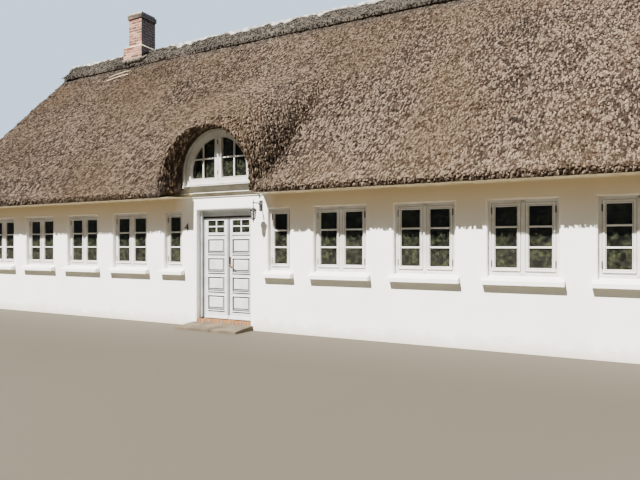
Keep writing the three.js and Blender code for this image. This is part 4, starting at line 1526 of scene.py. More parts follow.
@dataclass
class Casement:
    """A painted casement window, modelled once at x = 0 of a wall that looks along -Y."""

    width: float
    foot: float = 1.25
    head: float = 2.5
    rows: int = 3
    narrowest_pair: float = 0.8
    face: float = -3.415
    depth: float = 0.07
    seat: float = 0.0003
    frame_bar: float = 0.052
    rebate_in: float = 0.052
    rebate_depth: float = 0.012
    rebate_lap: float = 0.016
    stile: float = 0.049
    sash_out: float = 0.006
    gap: float = 0.003
    post: float = 0.036
    bar: float = 0.030
    lap: float = 0.006
    foot_rise: float = 0.022
    tilt: float = 0.004
    line_out: float = 0.0008

    def leaves(self) -> list[tuple[float, float]]:
        """Shares the width out between one or two sashes.

        Returns:
            Left and right edge of each.
        """
        reach = self.width / 2 - self.seat - self.frame_bar - self.gap
        if self.width < self.narrowest_pair:
            return [(-reach, reach)]
        near = self.post + self.gap
        return [(-reach, -near), (near, reach)]

    def ends(self) -> tuple[float, float]:
        """Foot and head of the sashes."""
        edge = self.seat + self.frame_bar + self.gap
        return self.foot + edge + self.foot_rise, self.head - edge

    def levels(self) -> list[float]:
        """Foot and head of the lights and the middle of each bar between them."""
        low, high = self.ends()
        low, high = low + self.stile, high - self.stile
        return [low + (high - low) * row / self.rows for row in range(self.rows + 1)]

    def joinery(self) -> Mesh:
        """Models the frame, the post, the sashes and their bars.

        Returns:
            The painted wood of the window.
        """
        face, back, rebate = self.face, self.face + self.depth, self.face + self.rebate_in
        half, foot, head = self.width / 2 - self.seat, self.foot + self.seat, self.head - self.seat
        spans = (-half, half, foot, head)
        parts = [
            ring("frame", spans, face, self.depth, self.frame_bar, 0.004),
            ring("rebate", spans, rebate, self.rebate_depth, self.frame_bar + self.rebate_lap),
            box("foot_member", (0.004 - half, face + 0.001, foot + 0.01),
                (half - 0.004, back - 0.002, foot + self.frame_bar + self.foot_rise), 0.004),
        ]
        if len(self.leaves()) > 1:
            lap = self.post + self.rebate_lap
            parts.append(box("post", (-self.post, face, foot), (self.post, back, head), 0.004))
            parts.append(box("post_rebate", (-lap, rebate, foot), (lap, rebate + self.rebate_depth, head), 0))
        sash = face - self.sash_out
        for left, right in self.leaves():
            spans = (left, right, *self.ends())
            parts.append(ring("sash", spans, sash, 0.046, self.stile, 0.005))
            parts.append(ring("putty", grown(spans, 0.009 - self.stile), sash + 0.012, 0.02, 0.015, 0.004))
            inner = self.stile - 0.004
            for level in self.levels()[1:-1]:
                parts.append(box("glazing_bar", (left + inner, sash + 0.006, level - self.bar / 2),
                                 (right - inner, sash + 0.036, level + self.bar / 2), 0.007))
            parts.append(self.drip(left, right))
        return together("casement_joinery", parts)

    def drip(self, left: float, right: float) -> Mesh:
        """Models the weather bar on the foot of a sash, with its top sloped so that rain runs off.

        Args:
            left: the sash's left edge.
            right: its right edge.

        Returns:
            The bar.
        """
        low, face = self.ends()[0], self.face - self.sash_out
        piece = box("weather_bar", (left + 0.004, face - 0.02, low + 0.004),
                    (right - 0.004, face + 0.004, low + 0.036), 0)
        for vertex in piece.data.vertices:
            if vertex.co.z > low + 0.03 and vertex.co.y < face:
                vertex.co.z -= 0.018
        return soften(piece, 0.003)

    def gaps(self) -> Mesh:
        """Models dark strips of painted shade in the seams round the sashes and the glass, a little wide so
        that they show.

        Returns:
            The seams.
        """
        low, high = self.ends()
        low, high = low - self.gap, high + self.gap
        front, inner = self.face - self.line_out, 0.011 - self.stile
        made = []
        for left, right in self.leaves():
            made.append(ring("seam", (left - 0.006, right + 0.006, low - 0.002, high + 0.002), front,
                             0.004, 0.009))
            made.append(ring("putty_line", grown((left, right, low, high), inner), front - self.sash_out,
                             0.004, 0.0045))
        return together("casement_gaps", made)

    def panes(self, rng: np.random.Generator) -> Mesh:
        """Models one pane for each light, each a little out of true, as old glass sits in its putty.

        Args:
            rng: gives each pane its tilt.

        Returns:
            The panes.
        """
        levels, inset, y = self.levels(), self.stile - self.lap, self.face + 0.02
        made = []
        for left, right in self.leaves():
            for low, high in zip(levels, levels[1:]):
                pane = box("pane", (left + inset, y, low + self.lap),
                           (right - inset, y + 0.004, high - self.lap), 0)
                tilt = Matrix.Rotation(rng.normal(0, self.tilt), 4, "X")
                tilt = tilt @ Matrix.Rotation(rng.normal(0, self.tilt), 4, "Z")
                centre = Matrix.Translation(((left + right) / 2, y, (low + high) / 2))
                pane.data.transform(centre @ tilt @ centre.inverted())
                made.append(pane)
        return together("casement_panes", made)

    def hinges(self) -> Mesh:
        """Models the iron pin hinges at the outer edges of the sashes.

        Returns:
            The hinges.
        """
        leaves = self.leaves()
        profile = [(0.0, -0.064), (0.006, -0.06), (0.009, -0.055), (0.009, 0.0), (0.0075, 0.001),
                   (0.009, 0.002), (0.009, 0.055), (0.006, 0.06), (0.0, 0.064)]
        made = []
        for edge in [leaves[0][0], leaves[-1][1]][:len(leaves)]:
            left, right = sorted((edge, edge + math.copysign(0.014, edge)))
            for level in (self.foot + 0.20, self.head - 0.17):
                made.append(turned("pin_hinge", profile, (edge, self.face - 0.01, level), 10))
                made.append(box("hinge_wing", (left, self.face - 0.004, level - 0.05),
                                (right, self.face + 0.002, level + 0.05), 0.001, 1))
        return together("casement_hinges", made)


@dataclass
class Walls:
    """The limewashed walls with their windows."""

    wide: float = 1.1
    narrow: float = 0.512
    first_narrow: float = 1.146
    pier: float = 0.549
    back_places: tuple[float, ...] = (-6.9, -2.5, 2.5, 6.9)
    levels: tuple[float, float] = (1.25, 2.5)
    attic: float = 1.0
    attic_levels: tuple[float, float] = (3.25, 4.15)
    outer: float = -3.5
    door_half: float = 0.7165
    door_head: float = 2.5203
    overlap: float = 0.0016
    jamb_round: float = 0.030
    round_off: float = 0.010
    near: float = 0.002
    rng: np.random.Generator = field(default_factory=lambda: np.random.default_rng(SEED + 2))

    def rounded(self, piece: Mesh, openings: Sequence[Spans]) -> Mesh:
        """Rounds the plaster of a wall that looks along -Y, most at the jambs and heads of its openings.

        Args:
            piece: the wall.
            openings: left, right, foot and head of each opening.

        Returns:
            The same piece.
        """
        near = self.near

        def on_jamb(edge: bpy.types.MeshEdge) -> bool:
            """Whether an edge is an outer jamb or head.

            Args:
                edge: an edge of the wall.

            Returns:
                True where it is.
            """
            low, high = ends = [piece.data.vertices[index].co for index in edge.vertices]
            if max(abs(end.y - self.outer) for end in ends) > near:
                return False
            for left, right, foot, head in openings:
                inside = all(foot - 0.09 < end.z < head + near and left - near < end.x < right + near
                             for end in ends)
                upright = abs(low.x - high.x) < near and min(abs(low.x - left), abs(low.x - right)) < near
                level = abs(low.z - high.z) < near and abs(low.z - head) < near
                if inside and (upright or level):
                    return True
            return False

        edit_some(piece, on_jamb, "EDGE")
        bpy.ops.mesh.bevel(offset=self.jamb_round, segments=4, affect="EDGES")
        rest()
        return soften(piece, self.round_off, 3)

    def front_wall(self) -> Mesh:
        """Joins the front wall's parts, so that no seam shows over the door.

        Returns:
            The wall.
        """
        wall = copy_of_node("front_wall_left", "front_wall_limewashed")
        others = [copy_of_node(f"front_wall_{part}", part) for part in ("over_door", "right")]
        low, high = (Vector(corner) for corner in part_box("front_wall_over_door"))
        size, centre = high - low, Matrix.Translation((low + high) / 2)
        grow = Matrix.Diagonal((1 + self.overlap / size.x, 1, 1 + self.overlap / size.z, 1))
        others[0].data.transform(centre @ grow @ centre.inverted())
        for other in others:
            shape_with(wall, "BOOLEAN", operation="UNION", object=other, solver="EXACT")
        discard(others)
        return weld(wall, 0.0009)

    def plaster(self) -> None:
        """Dresses every outer wall."""

        def opening(x: float, width: float, foot: float, head: float) -> Spans:
            """Left, right, foot and head of an opening from its middle and width."""
            return x - width / 2, x + width / 2, foot, head

        front = [opening(x, width, *self.levels) for x, width in self.front_places()]
        front.append(opening(0.0, self.door_half * 2, 0.0, self.door_head))
        back = [opening(x, self.wide, *self.levels) for x in self.back_places]
        gable = [opening(0.0, self.wide, *self.levels), opening(0.0, self.attic, *self.attic_levels)]
        dress(self.rounded(self.front_wall(), front), LIMEWASH, "limewashed_masonry",
              ["front_wall_left", "front_wall_over_door", "front_wall_right"])
        for node, side, openings in (("back_wall", WallSide.BACK, back),
                                     ("left_gable_wall", WallSide.LEFT, gable),
                                     ("right_gable_wall", WallSide.RIGHT, gable)):
            piece = copy_of_node(node, f"{node}_limewashed")
            piece.data.transform(side.place.inverted())
            self.rounded(piece, openings)
            piece.data.transform(side.place)
            for vertex in piece.data.vertices:
                vertex.co.z = max(vertex.co.z, 0.0)
            dress(piece, LIMEWASH, "limewashed_masonry", [node])
        dress_node("dormer_wall", LIMEWASH, 0.012)

    def front_places(self) -> list[tuple[float, float]]:
        """Middle and width of each front window, from left to right."""
        near = self.first_narrow + self.narrow + self.pier
        right = [(self.first_narrow + self.narrow / 2, self.narrow)]
        right += [(near + i * (self.wide + self.pier) + self.wide / 2, self.wide) for i in range(4)]
        return [(-x, width) for x, width in reversed(right)] + right

    def build(self) -> None:
        """Dresses the walls and fills every opening."""
        self.plaster()
        kinds = [Casement(self.wide), Casement(self.narrow), Casement(self.attic, *self.attic_levels, rows=2)]
        models = {kind.width: (kind, kind.joinery(), kind.hinges(), kind.gaps()) for kind in kinds}
        front = [(f"front_window_{i + 1}", x, width) for i, (x, width) in enumerate(self.front_places())]
        back = [(f"back_window_{i + 1}", x, self.wide) for i, x in enumerate(self.back_places)]
        self.fill(WallSide.FRONT, "front_glass_left", front[:5], models)
        self.fill(WallSide.FRONT, "front_glass_right", front[5:], models)
        self.fill(WallSide.BACK, "back_glass", back, models)
        for storey, width in (("gable", self.wide), ("attic", self.attic)):
            for side in (WallSide.LEFT, WallSide.RIGHT):
                stem = f"{side.name.lower()}_{storey}"
                self.fill(side, f"{stem}_glass", [(f"{stem}_window", 0.0, width)], models)
        for _, *meshes in models.values():
            discard(meshes)

    def fill(self, side: WallSide, glass: str, windows: Sequence[tuple[str, float, float]],
             models: dict[float, tuple[Casement, Mesh, Mesh, Mesh]]) -> None:
        """Fills the openings of one wall.

        Args:
            side: the wall.
            glass: the solid that stands in for the panes.
            windows: each window's solid, place along the wall and width.
            models: by width, the casement and its joinery, hinges and seams, to copy.
        """
        panes, hinges, gaps = [], [], []
        for node, x, width in windows:
            place = side.place @ Matrix.Translation((x, 0, 0))
            kind, joinery, iron, seams = models[width]
            dress(twin(joinery, f"{node}_joinery", place), FRAME_PAINT, "light_grey_painted_wood", [node])
            hinges.append(twin(iron, "hinges", place))
            gaps.append(twin(seams, "gaps", place))
            panes.append(kind.panes(self.rng))
            panes[-1].data.transform(place)
        stem = glass.replace("_glass", "")
        dress(together(f"{stem}_panes", panes), GLASS, "window_glass", [glass])
        dress(together(f"{stem}_window_hinges", hinges), IRON, "black_iron")
        dress(together(f"{stem}_window_seams", gaps), QUIRK, "light_grey_painted_wood")


@dataclass
class EaveBoards:
    """The painted boards that bed the thatch on the heads of the long walls."""

    half: float = 9.69
    outer: float = -3.555
    foot: float = 2.79
    joint: float = 2.868
    head: float = 2.978
    soffit_edge: float = -4.10
    soffit_levels: tuple[float, float] = (2.769, 2.777)
    soffit_rise: float = 0.022
    ledge_out: float = -3.590
    ledge_rise: float = 0.008
    dormer_half: float = 1.14
    sill_foot: float = 3.02
    lit_left: tuple[float, float] = (-0.80, -0.95)
    lit_right: tuple[float, float] = (1.14, 1.20)

    def soffit(self, left: tuple[float, float], right: tuple[float, float]) -> Mesh:
        """Models the board under the thatch, which rises towards the wall.

        Args:
            left: x of its left end at the wall and at the eave.
            right: x of its right end at the wall and at the eave.

        Returns:
            The board.
        """
        low, high = self.soffit_levels
        piece = box("soffit", (-1, self.soffit_edge, low), (1, self.outer, high), 0)
        for vertex in piece.data.vertices:
            at_eave = vertex.co.y < self.outer - 0.1
            vertex.co.x = (left if vertex.co.x < 0 else right)[at_eave]
            if not at_eave:
                vertex.co.z += self.soffit_rise
        return soften(piece, 0.002, 1)

    @staticmethod
    def bead(left: float, right: float, y: float, z: float, radius: float) -> Mesh:
        """Models a level bead along the wall."""
        return bar_along("bead", [(left, y, z), (right, y, z)], radius, smooth=False)

    def run(self, left: float, right: float) -> list[Mesh]:
        """Models the drip board and its bead between two places along the wall."""
        low, high = (left, self.outer, self.foot + 0.004), (right, WALL_FACE, self.joint)
        bead = self.bead(left, right, self.outer - 0.020, self.foot - 0.002, 0.012)
        return [box("drip_board", low, high, 0.004), bead]

    def upper(self) -> Mesh:
        """Models the board above the drip board."""
        low, high = (-self.half, self.outer + 0.018, self.joint), (self.half, WALL_FACE, self.head)
        return box("upper_board", low, high)

    def build(self) -> None:
        """Builds the boards of both walls. The front ones make way for a ledge under the dormer."""
        far, reach, low = (self.half, self.half), self.dormer_half, self.joint + self.ledge_rise
        near = (-self.half, -self.half)
        behind = together("back_eave_boards", [
            *self.run(-self.half, self.half), self.upper(), self.soffit(near, far)])
        behind.data.transform(WallSide.BACK.place)
        dress(behind, CREAM_PAINT, "cream_painted_board", ["back_eave_board"])
        before = together("front_eave_boards", [
            *self.run(-self.half, -reach), *self.run(reach, self.half), self.upper(),
            self.soffit(near, self.lit_left), self.soffit(self.lit_right, far)])
        dress(before, CREAM_PAINT, "cream_painted_board", ["front_eave_board"])
        fascia = together("dormer_fascia", [
            box("lower_board", (-reach, WALL_FACE - 0.012, self.foot + 0.012),
                (reach, WALL_FACE, low + 0.002)),
            box("ledge", (-reach, self.ledge_out, low), (reach, WALL_FACE, low + 0.016), 0.004),
            box("upper_face", (-reach, self.outer, low + 0.014), (reach, self.outer + 0.020, self.sill_foot)),
            self.bead(-reach, reach, WALL_FACE - 0.014, self.foot + 0.006, 0.010),
        ])
        dress(fascia, FASCIA_PAINT, "cream_painted_board")


# Dormer


@dataclass
class Dormer:
    """The round-headed window under the hood of thatch."""

    centre: float = 3.3
    light: float = 0.735
    light_foot: float = 3.185
    face: float = -3.66
    mullion: float = 0.088
    bar: float = 0.015
    cross_level: float = 3.60
    uprights: float = 0.407
    sill_foot: float = 3.022
    weather_half: float = 0.79
    weather_levels: tuple[float, float] = (3.05, 3.075)
    catch_levels: tuple[float, float] = (3.29, 3.93)
    beads: tuple[Point, ...] = ((0.006, 0.007, 0.002), (0.05, 0.004, 0.0))

    def arch(self, side: int, lap: float, y: float) -> list[Point]:
        """Follows the edge of a half light: up its side, over its arc and down the mullion.

        Args:
            side: -1 for the left half and 1 for the right one.
            lap: how far outside the light the line runs.
            y: how far forward it lies.

        Returns:
            Points along it.
        """
        radius, inner, foot = self.light + lap, self.mullion - lap, self.light_foot - lap
        stop = math.acos(inner / radius)
        arc = [stop * i / 24 for i in range(25)]
        line = [(radius, foot), *((radius * math.cos(a), self.centre + radius * math.sin(a)) for a in arc),
                (inner, foot), (radius, foot)]
        return [(side * x, y, z) for x, z in line]

    def window(self) -> Mesh:
        """Models the frame round its solid: bars, beads, a cover strip and a weather bar.

        Returns:
            The painted wood of the window.
        """
        parts = [soften(copy_of_node("dormer_window", "dormer_frame"), 0.004)]
        reach = math.sqrt(self.light ** 2 - (self.cross_level - self.centre) ** 2)
        rise = self.centre + math.sqrt(self.light ** 2 - self.uprights ** 2)
        front, back = self.face + 0.012, self.face + 0.045
        for side in (-1, 1):
            left, right = sorted((side * (self.mullion - 0.004), side * (reach + 0.006)))
            parts.append(box("cross_bar", (left, front, self.cross_level - self.bar),
                             (right, back, self.cross_level + self.bar), 0.006))
            x = side * self.uprights
            parts.append(box("upright_bar", (x - self.bar, front, self.light_foot - 0.004),
                             (x + self.bar, back, rise + 0.012), 0.006))
            for lap, thick, out in self.beads:
                line = self.arch(side, lap, self.face - out)
                parts.append(bar_along("sash_bead", line, thick, 2, smooth=False))
        parts.append(box("cover_strip", (-0.02, self.face - 0.009, self.light_foot - 0.05),
                         (0.02, self.face + 0.01, self.centre + self.light + 0.02), 0.004))
        low, high = self.weather_levels
        parts.append(box("weather_bar", (-self.weather_half, self.face - 0.016, low),
                         (self.weather_half, self.face + 0.004, high), 0.005))
        return together("dormer_window_joinery", parts)

    def build(self) -> None:
        """Dresses the cheek, the sill and the window, and adds bars, beads, catches and panes."""
        lining = soften(copy_of_node("dormer_lining", "dormer_cheek"), 0.006, 3)
        dress(lining, CHEEK_PAINT, "light_grey_painted_wood", ["dormer_lining"])
        sill = copy_of_node("dormer_sill", "dormer_sill_board")
        for vertex in sill.data.vertices:
            vertex.co.z = max(vertex.co.z, self.sill_foot)
        dress(soften(sill, 0.008, 3), FRAME_PAINT, "light_grey_painted_wood", ["dormer_sill"])
        dress(self.window(), FRAME_PAINT, "light_grey_painted_wood", ["dormer_window"])
        catches = [box("catch", (-0.012, self.face - 0.016, z - 0.045), (0.012, self.face - 0.008, z + 0.045))
                   for z in self.catch_levels]
        dress(together("dormer_catches", catches), IRON, "black_iron")
        glass = soften(copy_of_node("dormer_glass", "dormer_panes"), 0.001, 1)
        dress(glass, GLASS, "window_glass", ["dormer_glass"])


# Door


@dataclass
class DoubleDoor:
    """Two panelled leaves with four lights each, their frame, threshold and step."""

    leaf_face: float = -3.3
    outer: float = 0.65
    gap: float = 0.004
    outer_stile: float = 0.091
    meeting_stile: float = 0.102
    head: float = 2.345
    foot: float = 0.158
    sink: float = 0.012
    light: tuple[float, float] = (0.041, 0.318)
    panels: tuple[tuple[float, float], ...] = ((0.450, 0.774), (0.865, 1.179), (1.274, 1.588), (1.679, 2.0))
    frame_half: float = 0.7157
    frame_face: float = -3.38
    frame_head: float = 2.5197
    frame_foot: float = 0.1503
    handle_x: float = 0.046
    lever_height: float = 1.335
    lever: tuple[Point, ...] = ((-0.006, 0.0, 0.0), (0.02, -0.001, 0.001), (0.05, 0.0, -0.008),
                                (0.078, 0.0, -0.035), (0.1, 0.0, -0.053), (0.122, 0.0, -0.059),
                                (0.132, 0.0, -0.051))
    plate: tuple[float, float] = (1.3, 1.51)
    screw_in: float = 0.015
    brick_count: int = 22
    brick_half: float = 0.7127
    brick_gap: float = 0.005
    brick_run: tuple[float, float] = (-3.4985, -3.16)
    brick_rise: tuple[float, float] = (0.045, 0.15)
    bed_run: tuple[float, float] = (-3.4945, -3.1503)
    bed_head: float = 0.143
    step_front: float = -4.1
    step_depth: float = 0.6
    step_thick: float = 0.055
    step_rise: float = 0.045
    slabs: tuple[tuple[float, float], ...] = ((-0.78, 0.115), (0.125, 0.78))
    rng: np.random.Generator = field(default_factory=lambda: np.random.default_rng(SEED + 3))

    def opening(self, side: int, drops: tuple[float, float]) -> Spans:
        """Left, right, foot and head of a panel or light, from how far below the leaf's head it lies."""
        left, right = sorted((side * (self.outer - self.outer_stile), side * (self.gap + self.meeting_stile)))
        return left, right, self.head - drops[1], self.head - drops[0]

    def bar(self, spans: Spans, out: float, back: float, round_off: float, segments: int = 2) -> Mesh:
        """Models a bar on a leaf.

        Args:
            spans: left, right, foot and head of it.
            out: how far it stands before the leaf's face.
            back: how far it goes behind the face.
            round_off: how far its edges are rounded.
            segments: how many faces the rounding has.

        Returns:
            The bar.
        """
        left, right, foot, head = spans
        low, high = (left, self.leaf_face - out, foot), (right, self.leaf_face + back, head)
        return box("bar", low, high, round_off, segments)

    def grime(self, spans: Spans, out: float = 0.0012, back: float = 0.001) -> Mesh:
        """Models a dark strip of grime and painted shade on a leaf."""
        return self.bar(spans, out, back, 0.0004, 1)

    def leaf(self, name: str, side: int) -> Mesh:
        """Models a leaf round its solid: mouldings, raised fields, bars, a weather board and an edge bead.

        Args:
            name: left or right.
            side: -1 for left and 1 for right.

        Returns:
            The leaf.
        """
        face = self.leaf_face
        parts = [soften(copy_of_node(f"door_leaf_{name}", "leaf_body"), 0.0025)]
        for drops in self.panels:
            spans = left, right, low, top = self.opening(side, drops)
            parts += [
                ring("moulding", grown(spans, 0.004), face - 0.010, 0.012, 0.010, 0.003),
                raised("field", (left + 0.040, face + 0.004, low + 0.058),
                       (right - 0.040, face + self.sink + 0.002, top - 0.036), 0.010, 0.013),
                self.bar((left - 0.006, right + 0.006, low - 0.012, low + 0.001), 0.018, 0.002, 0.003),
            ]
        spans = left, right, low, top = self.opening(side, self.light)
        middle, level = (left + right) / 2, (low + top) / 2
        board_left, board_right = sorted((side * 0.628, side * 0.012))
        board = self.bar((board_left, board_right, self.foot + 0.012, self.foot + 0.07), 0.022, 0.002, 0)
        for vertex in board.data.vertices:
            if vertex.co.z > self.foot + 0.05 and vertex.co.y < face:
                vertex.co.y += 0.014
        edge, bead = (-self.gap - 0.012, 0.009) if side < 0 else (self.gap + 0.040, 0.0055)
        parts += [
            ring("light_moulding", grown(spans, 0.008), face - 0.007, 0.016, 0.014, 0.004),
            self.bar((left - 0.014, right + 0.014, low - 0.046, low - 0.030), 0.018, 0.002, 0.004),
            self.bar((middle - 0.013, middle + 0.013, low - 0.002, top + 0.002), -0.002, 0.036, 0.006),
            self.bar((left - 0.002, right + 0.002, level - 0.013, level + 0.013), -0.002, 0.036, 0.006),
            soften(board, 0.004),
            bar_along("edge_bead", [(edge, face, self.foot + 0.09), (edge, face, self.head - 0.02)], bead, 2,
                      smooth=False),
        ]
        return together(f"door_leaf_{name}_joinery", parts)

    def quirks(self, name: str, side: int) -> Mesh:
        """Models the dark strips of dirt and painted shade round a leaf's panels and lights.

        Args:
            name: left or right.
            side: -1 for left and 1 for right.

        Returns:
            The lines.
        """
        sunk = self.leaf_face + self.sink
        made = []
        for drops in self.panels:
            spans = left, right, low, top = self.opening(side, drops)
            made += [
                ring("recess_line", grown(spans, -0.005), sunk - 0.003, 0.004, 0.025),
                ring("field_line", (left + 0.036, right - 0.036, low + 0.054, top - 0.032), sunk - 0.0035,
                     0.004, 0.015),
                self.grime((left + 0.038, right - 0.038, low + 0.043, low + 0.057), 0.0045 - self.sink,
                           self.sink),
                self.grime((left - 0.004, right + 0.004, low - 0.038, low - 0.010)),
            ]
        left, right, low, _ = self.opening(side, self.light)
        near, far = (-0.036, -0.022) if side < 0 else (0.0005, 0.031)
        middle = side * self.gap
        made += [
            self.grime((left - 0.012, right + 0.012, low - 0.066, low - 0.045)),
            self.grime((middle + near, middle + far, self.foot + 0.09, self.head - 0.01)),
        ]
        return together(f"door_leaf_{name}_quirks", made)

    def rebate(self) -> Mesh:
        """Models dark strips of painted shade in the deep rebate between the frame's face and the leaves.

        Returns:
            The dark lines.
        """
        half, low = self.frame_half - 0.038, self.head + 0.003
        parts = [self.grime((-half, half, low, self.head + 0.045), 0.009, -0.005)]
        for side in (-1, 1):
            left, right = sorted((side * half, side * (self.outer + 0.004)))
            parts.append(self.grime((left, right, self.frame_foot + 0.01, low), 0.009, -0.005))
        return together("door_frame_quirks", parts)

    def frame(self) -> Mesh:
        """Models the rebated frame: the solid's jambs and hinges, and a narrow face that stands before them.

        Returns:
            The frame.
        """
        half = self.frame_half
        spans = (-half, half, self.frame_foot, self.frame_head)
        jambs = copy_of_node("door_frame", "frame_body")
        edit_all(jambs)
        bpy.ops.mesh.bisect(plane_co=(0, self.leaf_face - 0.0062, 0), plane_no=(0, 1, 0), use_fill=True,
                            clear_inner=True)
        rest()
        return together("door_frame_joinery", [
            soften(jambs, 0.002),
            ring("face", spans, self.frame_face, 0.076, 0.037, 0.006, open_foot=True),
            ring("backband", spans, self.frame_face - 0.012, 0.014, 0.014, 0.005, open_foot=True),
            self.bar((0.04 - half, half - 0.04, self.head + 0.048, self.head + 0.066), 0.030, -0.004, 0.004),
        ])

    def handle(self) -> Mesh:
        """Models the brass plate with its screws and keyhole, and the curved lever with its rose.

        Returns:
            The handle.
        """
        x, height, face = self.handle_x, self.lever_height, self.leaf_face - 0.0003
        front, out = face - 0.006, face - 0.052
        dome = [(0.0, 0.0), (0.006, 0.0), (0.006, 0.002), (0.004, 0.0035), (0.0, 0.004)]
        rose = [(0.0, -0.001), (0.016, -0.001), (0.016, 0.004), (0.011, 0.008), (0.0095, 0.03),
                (0.008, 0.052), (0.0, 0.054)]
        lever = [(x + along, out + bend, height + rise) for along, bend, rise in self.lever]
        low, high = self.plate
        return together("door_handle_brass", [
            box("handle_plate", (x - 0.022, front, low), (x + 0.022, face, high), 0.003, 3),
            *(turned("screw", dome, (x, front, z), 10, forwards=True)
              for z in (low + self.screw_in, high - self.screw_in)),
            turned("rose", rose, (x, front, height), 16, forwards=True),
            bar_along("lever", lever, 0.0105),
            box("keyhole_cover", (x - 0.007, face - 0.0085, 1.42), (x + 0.007, face - 0.005, 1.448), 0.002),
        ])

    def threshold(self) -> tuple[Mesh, Mesh]:
        """Models a row of bricks on edge in their bed of mortar.

        Returns:
            The bed and the bricks.
        """
        half, (front, back) = self.frame_half, self.bed_run
        bed = box("threshold_bed", (-half, front, 0.0), (half, back, self.bed_head))
        pitch = 2 * self.brick_half / self.brick_count
        reach, (front, back), (foot, head) = pitch / 2 - self.brick_gap, self.brick_run, self.brick_rise
        pattern = box("brick", (-reach, front, foot), (reach, back, head), 0.004)
        bricks, tones = [], []
        for index in range(self.brick_count):
            drop = -abs(self.rng.normal(0, 0.0015))
            place = Matrix.Translation(((index + 0.5) * pitch - self.brick_half, 0, drop))
            bricks.append(twin(pattern, "brick", place))
            tones.append(float(np.clip(self.rng.normal(0.55, 0.25), 0, 1)))
        return bed, join_bricks("threshold_bricks", bricks, tones, pattern)

    def step(self) -> Mesh:
        """Models the worn stone in front of the door as two slabs with a joint.

        Returns:
            The slabs.
        """
        made = []
        for left, right in self.slabs:
            slab = box("slab", (left, self.step_front, 0.0), (right, WALL_FACE, self.step_thick), 0)
            edit_all(slab)
            bpy.ops.mesh.subdivide(number_cuts=14)
            rest()
            made.append(soften(slab, 0.007, 3))
        piece = ripple(together("door_step_slabs", made), 0.22, 0.010, 0.95, direction="Z")
        for vertex in piece.data.vertices:
            if vertex.co.z > 0.02:
                vertex.co.z += self.step_rise * (vertex.co.y - self.step_front) / self.step_depth
            vertex.co.z = max(vertex.co.z, 0.0)
        return piece

    def build(self) -> None:
        """Builds the doorway. The handle rides on the right leaf."""
        dress(self.frame(), DOOR_PAINT, "grey_painted_wood", ["door_frame"])
        dress(self.rebate(), QUIRK, "grey_painted_wood")
        for name, side in (("left", -1), ("right", 1)):
            body = f"{name}_leaf"
            dress(self.leaf(name, side), DOOR_PAINT, "grey_painted_wood", [f"door_leaf_{name}"], body)
            dress(self.quirks(name, side), QUIRK, "grey_painted_wood", (), body)
            dress_node(f"leaf_glass_{name}", GLASS)
        dress(self.handle(), BRASS, "brass", ["door_handle"], "right_leaf")
        bed, bricks = self.threshold()
        dress(bricks, THRESHOLD_BRICK, "red_brick", ["door_threshold"])
        dress(bed, MORTAR, "red_brick")
        dress(self.step(), STONE, "step_stone", ["door_step"])


# Small things


